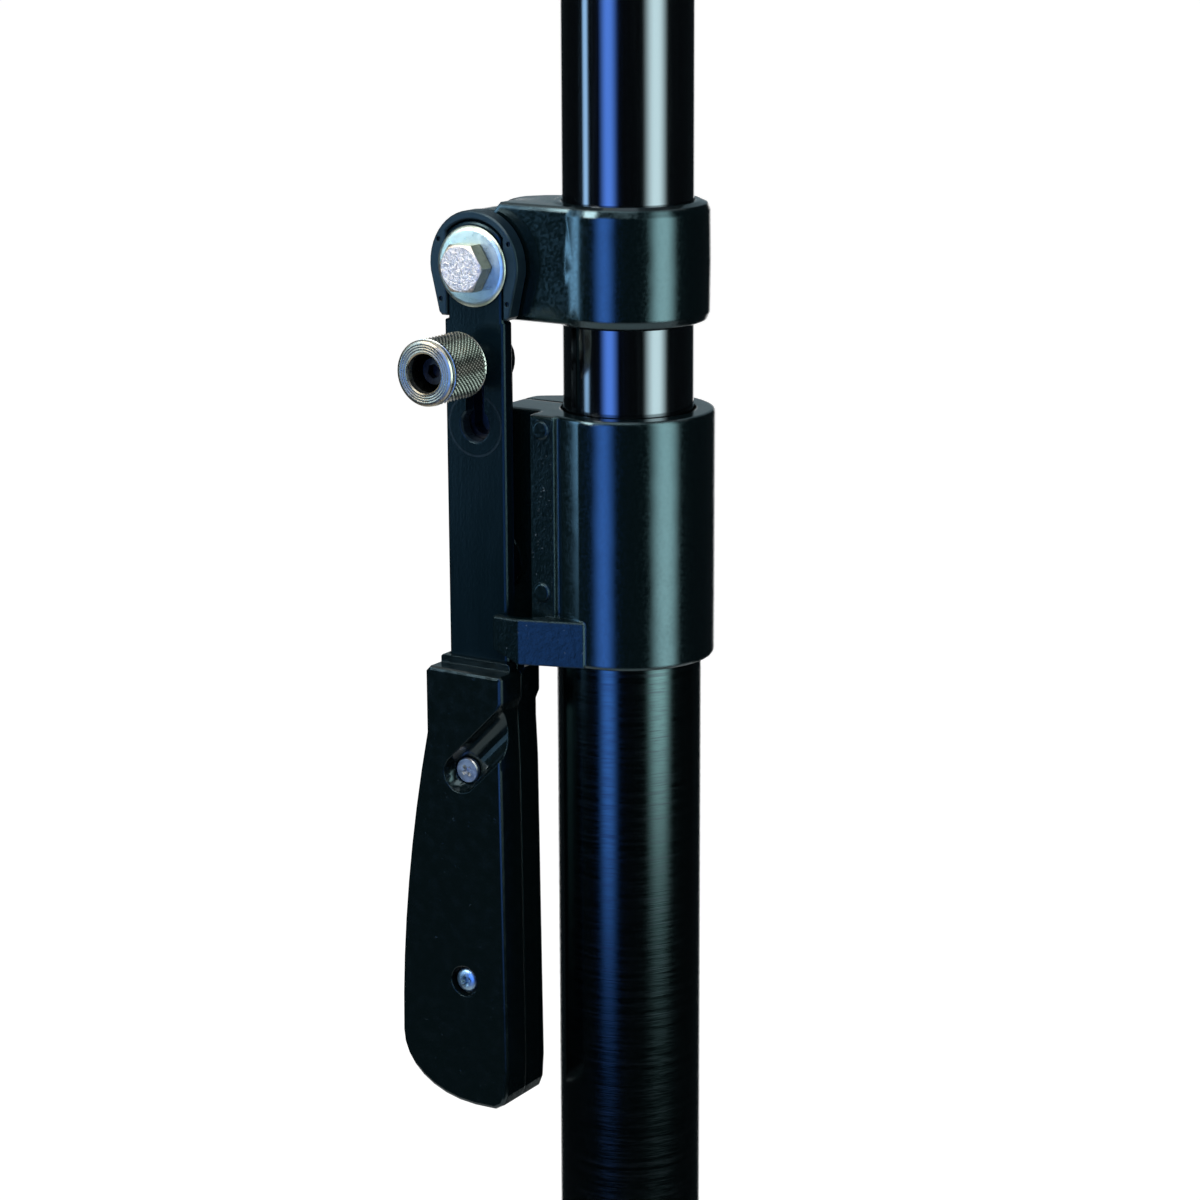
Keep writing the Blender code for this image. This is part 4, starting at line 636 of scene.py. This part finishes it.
def knurled_knob():
    """Pull knob with a cut diamond knurl, a ringed front and a deep bore."""
    rows = [(KNOB_HOLE_R, KNOB_WALL_Y), (KNOB_HOLE_R, KNOB_NOSE_Y)]
    rows += [(KNOB_NOSE_R - KNOB_NOSE_EASE, KNOB_NOSE_Y), (KNOB_NOSE_R, KNOB_NOSE_Y - KNOB_NOSE_EASE)]
    rows += [(KNOB_NOSE_R, KNOB_SHOULDER_Y)]
    rows += [(KNOB_R - inset, y) for inset, y in KNOB_BACK_EDGE]
    first = len(rows)
    step = (KNURL_FRONT_Y - KNURL_BACK_Y) / KNURL_ROWS
    rows += [(KNOB_R, KNURL_BACK_Y + step * i) for i in range(KNURL_ROWS + 1)]
    rows += [(KNOB_R - inset, y) for inset, y in KNOB_FRONT_RING]
    for groove in range(KNOB_GROOVES):
        edge = KNOB_R - KNOB_GROOVE_INSET - groove * KNOB_GROOVE_PITCH
        rows += [(edge, KNOB_FACE_Y), (edge - KNOB_GROOVE_FLANK, KNOB_FACE_Y + KNOB_GROOVE_DEPTH)]
        rows += [(edge - 2 * KNOB_GROOVE_FLANK, KNOB_FACE_Y)]
    rows += [(KNOB_BORE_R + outset, KNOB_FACE_Y + depth) for outset, depth in KNOB_MOUTH]
    rows += [(KNOB_BORE_R, KNOB_WALL_Y)]

    def cut(row, i, radius):
        if first < row < first + KNURL_ROWS and (row + i) % 2 == 0:
            return radius - KNURL_DEPTH
        return radius

    nickel = turned_metal("knob_nickel", KNOB_NICKEL, 0.30, knurled=True)
    bm = spun(rows, (PIVOT_X, LINK_Z), KNURL_COUNT * 2, cut)
    piece("knurled_pull_knob", bm, nickel, "knob", "pull_knob", sharp=22.0)


def coil_spring(finish):
    """Knob spring as a piece with its own mesh on the stud; the real spring shortens towards the screw's
    head as the knob is pulled, which this function does not do.
    """
    made = piece("coiled_knob_spring", solid_form("knob_spring"), finish, "stud", "knob_spring", sharp=60.0)
    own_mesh(made)


def pressed_washer(finish):
    """Front washer with its rim rolled back."""
    low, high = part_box("pivot_washer")
    face, back = low.y, high.y
    rows = [(WASHER_HOLE_R, back), (WASHER_HOLE_R, face + WASHER_HOLE_EASE)]
    rows += [(WASHER_HOLE_R + WASHER_HOLE_EASE, face)]
    rows += [(WASHER_R - inset, face + depth) for inset, depth in WASHER_CROWN]
    rows += [(WASHER_R, back - WASHER_BACK_EASE), (WASHER_R - WASHER_BACK_EASE, back)]
    bm = spun(rows, (PIVOT_X, PIVOT_Z), WASHER_SEGMENTS)
    body = NODES["pivot_washer"]["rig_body"]
    piece("pressed_front_washer", bm, finish, body, "pivot_washer", sharp=35.0)


def cross_cutter(x, z, face_y, turn):
    """Tapered cross for a Phillips recess, pointing into the head."""
    mouth = (*CROSS_MOUTH_SHARES, face_y - CROSS_LEAD)
    bottom = (*CROSS_FLOOR_SHARES, face_y + CROSS_DEPTH)
    bm = bmesh.new()
    for quarter in (0, 90):
        spin = Matrix.Rotation(math.radians(turn + quarter), 2)
        rings = []
        for length, width, y in (mouth, bottom):
            half_long = CROSS_LENGTH * length
            half_wide = CROSS_WIDTH * width
            ring = []
            for side, end in ((-1, -1), (1, -1), (1, 1), (-1, 1)):
                spot = spin @ Vector((side * half_long, end * half_wide))
                ring.append(bm.verts.new((x + spot.x, y, z + spot.y)))
            rings.append(ring)
        near, far = rings
        bm.faces.new(near)
        bm.faces.new(far)
        for i in range(4):
            j = (i + 1) % 4
            bm.faces.new((near[i], near[j], far[j], far[i]))
    bmesh.ops.recalc_face_normals(bm, faces=bm.faces)
    return bm


def carve(target, bm):
    """Cut a closed mesh out of a piece and keep the result as its mesh."""
    tool = put("cut_tool", mesh_from("cut_tool", bm))
    step = target.modifiers.new("cut", "BOOLEAN")
    step.operation = "DIFFERENCE"
    step.solver = "EXACT"
    step.use_self = True
    step.object = tool
    bpy.context.view_layer.update()
    graph = bpy.context.evaluated_depsgraph_get()
    result = bpy.data.meshes.new_from_object(target.evaluated_get(graph))
    target.modifiers.clear()
    target.data = result
    smooth(result, TURNED_SHARP)
    bpy.data.objects.remove(tool)


def grip_screw(name, node, z, crown, turn, colour):
    """Cross-recessed screw in the grip, with its cross turned by some degrees."""
    face_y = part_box(node)[0].y
    seat = face_y + crown[-1][1]
    rows = [(AXIS_R, SCREW_TIP_Y), (SCREW_SHANK_R - SCREW_TIP_EASE, SCREW_TIP_Y)]
    rows += [(SCREW_SHANK_R, SCREW_TIP_Y - SCREW_TIP_EASE), (SCREW_SHANK_R, seat)]
    rows += [(SCREW_HEAD_R - SCREW_HEAD_EASE, seat)]
    rows += [(radius, seat - height) for radius, height in crown]
    metal = zinc(f"{name}_metal", (GRIP_SCREW_X, z), colour).made
    made = piece(name, spun(rows, (GRIP_SCREW_X, z), SCREW_SEGMENTS), metal, "lever", node)
    carve(made, cross_cutter(GRIP_SCREW_X, z, face_y, turn))


def seen_only_in_reflections(made):
    """Leave an object to the glossy rays alone."""
    made.visible_camera = False
    made.visible_diffuse = False
    made.visible_transmission = False
    made.visible_shadow = False
    made.visible_volume_scatter = False


def glowing(name, colour, strength, soft_sides, soft_ends):
    """Light that fades out over a soft share of the panel's width and of its height."""
    made = bpy.data.materials.new(name)
    made.use_nodes = True
    made.node_tree.nodes.clear()
    nodes = Nodes(made.node_tree)
    parts = nodes.node("ShaderNodeSeparateXYZ")
    nodes.link(nodes.node("ShaderNodeTexCoord").outputs["Generated"], parts.inputs[0])
    fades = []
    for axis, soft in (("X", soft_sides), ("Z", soft_ends)):
        from_middle = nodes.math("ABSOLUTE", nodes.math("SUBTRACT", parts.outputs[axis], PANEL_MIDDLE))
        fades.append(nodes.remap(from_middle, PANEL_MIDDLE, PANEL_MIDDLE * (1 - soft)))
    level = nodes.math("MULTIPLY", nodes.math("MULTIPLY", *fades), strength)
    light = nodes.node("ShaderNodeEmission", {"Color": (*colour, 1.0)})
    nodes.link(level, light.inputs["Strength"])
    nodes.link(light.outputs[0], nodes.node("ShaderNodeOutputMaterial").inputs["Surface"])
    return made


def card(name, bearing, half_angle, low, high, **glow):
    """Tall soft panel that only reflections see, turned to face the pole; glow is what glowing() takes."""
    half = PANEL_DISTANCE * math.tan(math.radians(half_angle))
    mesh = bpy.data.meshes.new(name)
    corners = [(-half, 0, low), (half, 0, low), (half, 0, high), (-half, 0, high)]
    mesh.from_pydata(corners, [], [(0, 1, 2, 3)])
    mesh.materials.append(glowing(name, **glow))
    made = put(name, mesh)
    angle = math.radians(bearing)
    made.location = (PANEL_DISTANCE * math.cos(angle), PANEL_DISTANCE * math.sin(angle), 0)
    made.rotation_euler = (0, 0, angle + math.pi / 2)
    seen_only_in_reflections(made)


def matte(name, colour):
    """Surface without gloss, for the stage."""
    made = bpy.data.materials.new(name)
    made.use_nodes = True
    shader = made.node_tree.nodes["Principled BSDF"]
    shader.inputs["Base Color"].default_value = (*colour, 1.0)
    shader.inputs["Roughness"].default_value = CLOTH_ROUGHNESS
    shader.inputs["Specular IOR Level"].default_value = 0.0
    return made


def flag(name, bearing, half_angle, low, high, shade):
    """Cloth on an arc round the object that only reflections see."""
    bm = bmesh.new()
    columns = []
    for i in range(FLAG_STEPS + 1):
        angle = math.radians(bearing - half_angle + 2 * half_angle * i / FLAG_STEPS)
        x, y = FLAG_RADIUS * math.cos(angle), FLAG_RADIUS * math.sin(angle)
        columns.append((bm.verts.new((x, y, low)), bm.verts.new((x, y, high))))
    for (a, b), (c, d) in zip(columns, columns[1:]):
        bm.faces.new((a, c, d, b))
    mesh = mesh_from(name, bm)
    mesh.materials.append(matte(name, shade))
    made = put(name, mesh)
    seen_only_in_reflections(made)


def floor():
    """Plain pale floor that reads white behind the object and keeps its shadow."""
    bm = bmesh.new()
    bmesh.ops.create_grid(bm, x_segments=1, y_segments=1, size=FLOOR_SIZE)
    mesh = mesh_from("studio_floor", bm)
    surface = matte("studio_floor", FLOOR_TONE)
    mesh.materials.append(surface)
    made = put("studio_floor", mesh)
    made.location = (0, 0, CAD_BOX[0][2] - FLOOR_DROP)
    nodes = Nodes(surface.node_tree)
    reach = nodes.node("ShaderNodeVectorMath", operation="LENGTH")
    nodes.link(nodes.node("ShaderNodeTexCoord").outputs["Object"], reach.inputs[0])
    far = nodes.remap(reach.outputs["Value"], *FLOOR_GLOW_REACH, *FLOOR_GLOW_LEVEL)
    glow = nodes.node("ShaderNodeEmission", {"Color": (*WHITE, 1.0)})
    nodes.link(nodes.math("MULTIPLY", nodes.direct_sight(), far), glow.inputs["Strength"])
    both = nodes.node("ShaderNodeAddShader")
    nodes.link(surface.node_tree.nodes["Principled BSDF"].outputs[0], both.inputs[0])
    nodes.link(glow.outputs[0], both.inputs[1])
    nodes.link(both.outputs[0], surface.node_tree.nodes["Material Output"].inputs["Surface"])


def surroundings():
    """World: white where it is seen, soft and even where it lights."""
    world = bpy.data.worlds.new("studio_world")
    bpy.context.scene.world = world
    world.use_nodes = True
    nodes = Nodes(world.node_tree)
    back = world.node_tree.nodes["Background"]
    back.inputs["Color"].default_value = (*WHITE, 1.0)
    level = nodes.remap(nodes.direct_sight(), 0.0, 1.0, WORLD_LIGHT, 1.0)
    nodes.link(level, back.inputs["Strength"])


def lamp(name, place, target, size, power, colour):
    """Soft rectangular lamp that points at a target."""
    light = bpy.data.lights.new(name, "AREA")
    light.shape = "RECTANGLE"
    light.size, light.size_y = size
    light.energy = power
    light.color = colour
    made = put(name, light)
    made.location = place
    made.rotation_euler = (Vector(target) - Vector(place)).to_track_quat("-Z", "Y").to_euler()
    made.visible_camera = False


def camera():
    """The photograph's camera, solved from the tubes, the bolt and the castings' edges."""
    turn, pitch, roll = (math.radians(a) for a in (CAMERA_AZIMUTH, CAMERA_PITCH, CAMERA_ROLL))
    level_right = Vector((math.cos(turn), math.sin(turn), 0))
    flat = math.cos(pitch)
    ahead = Vector((-math.sin(turn) * flat, math.cos(turn) * flat, -math.sin(pitch)))
    level_up = level_right.cross(ahead)
    right = level_right * math.cos(roll) + level_up * math.sin(roll)
    up = level_up * math.cos(roll) - level_right * math.sin(roll)
    data = bpy.data.cameras.new("photo_camera")
    data.sensor_width = SENSOR
    data.lens = LENS
    data.clip_start, data.clip_end = CAMERA_CLIP
    made = put("photo_camera", data)
    matrix = Matrix((right, up, -ahead)).transposed().to_4x4()
    matrix.translation = Vector(CAMERA_PLACE)
    made.matrix_world = matrix
    bpy.context.scene.camera = made


def build_stage():
    """Camera, floor, world, dark cloths, coloured panels and two lamps."""
    bpy.context.scene.view_settings.view_transform = "Standard"
    camera()
    floor()
    surroundings()
    flag("dark_flags", bearing=-58, half_angle=158, low=-0.01, high=2.8, shade=(0.016, 0.022, 0.026))
    flag("back_flag", bearing=122, half_angle=22, low=1.45, high=2.8, shade=(0.22, 0.30, 0.34))
    card("blue_panel", bearing=-91.5, half_angle=19, low=0.64, high=2.05,
         colour=(0.12, 0.29, 0.92), strength=6.6, soft_sides=0.95, soft_ends=0.35)
    card("lavender_panel", bearing=-135.5, half_angle=8, low=0.92, high=2.1,
         colour=(0.42, 0.68, 0.98), strength=7.0, soft_sides=0.8, soft_ends=0.5)
    card("green_panel", bearing=-9.0, half_angle=25, low=0.70, high=2.3,
         colour=(0.80, 0.99, 0.97), strength=6.6, soft_sides=0.9, soft_ends=0.35)
    lamp("overhead", place=(0.2, -0.9, 2.9), target=(0, 0, 1.3), size=(1.6, 1.2), power=24, colour=WHITE)
    lamp("key", place=(-0.70, -1.15, 2.05), target=(-0.04, 0, 1.3), size=(0.6, 0.45), power=16,
         colour=(1.0, 0.99, 0.97))


def dress_pole():
    """Tubes, castings and feet."""
    tube("gloss_inner_tube", "inner_tube", "upper_pole", INNER_TUBE_R, INNER_TUBE_WALL, gloss_tube())
    tube("brushed_outer_tube", "outer_tube", "lower_pole", OUTER_TUBE_R, OUTER_TUBE_WALL, brushed_tube())
    dress(casting_paint(), "lower_casting", "upper_casting", "floor_foot", "ceiling_foot")
    roughen_lower_casting()


def dress_lever():
    """Lever bar and the plastic round it."""
    dress(lever_paint(), "lever_bar")
    dress(moulded("grip_plastic", GRIP_BLACK, 0.14, grain=0.10), "grip_front", "grip_back")
    dress(moulded("shroud_plastic", SHROUD_BLACK, 0.34, grain=0.35), "end_shroud")


def dress_metal():
    """Bolt, washers, stud, spring, link and screws."""
    pivot = (PIVOT_X, PIVOT_Z)
    dress(lit_top_zinc("bolt_zinc", pivot, BOLT_ZINC), "pivot_bolt")
    washer_zinc = zinc("washer_zinc", pivot, WASHER_ZINC).made
    pressed_washer(washer_zinc)
    dress(washer_zinc, "rear_washer", "pivot_nut")
    dress(zinc("foot_screw_zinc", (0, 0), FOOT_ZINC).made, "floor_foot_screw", "ceiling_foot_screw")
    stud_steel = turned_metal("stud_steel", STUD_STEEL, 0.34)
    dress(stud_steel, "slide_stud")
    coil_spring(stud_steel)
    screw_black = plain_metal("cap_screw_black", CAP_SCREW_BLACK, 0.36)
    dress(screw_black, "knob_screw", "clamp_screw_upper", "clamp_screw_lower")
    dress(plain_metal("link_black_steel", LINK_BLACK, 0.34), "link_bar")
    dress(plain_metal("pin_steel", PIN_STEEL, 0.34), "link_anchor_pin")
    dress(plain_metal("bush_bronze", BUSH_BRONZE, 0.36), "pivot_bush")


def dress_soft_pieces():
    """Nylon inside the pole and rubber at its ends."""
    dress(nylon(), "guide_bush", "slip_washer", "tube_glide", "floor_tube_plug", "ceiling_tube_plug")
    dress(rubber(), "floor_pad", "ceiling_pad")


build_stage()
dress_pole()
dress_lever()
dress_metal()
dress_soft_pieces()
knurled_knob()
grip_screw("upper_grip_screw", "grip_screw_upper", UPPER_SCREW_Z, FLAT_CROWN, 38, UPPER_SCREW_ZINC)
grip_screw("lower_grip_screw", "grip_screw_lower", LOWER_SCREW_Z, PAN_CROWN, 20, LOWER_SCREW_ZINC)
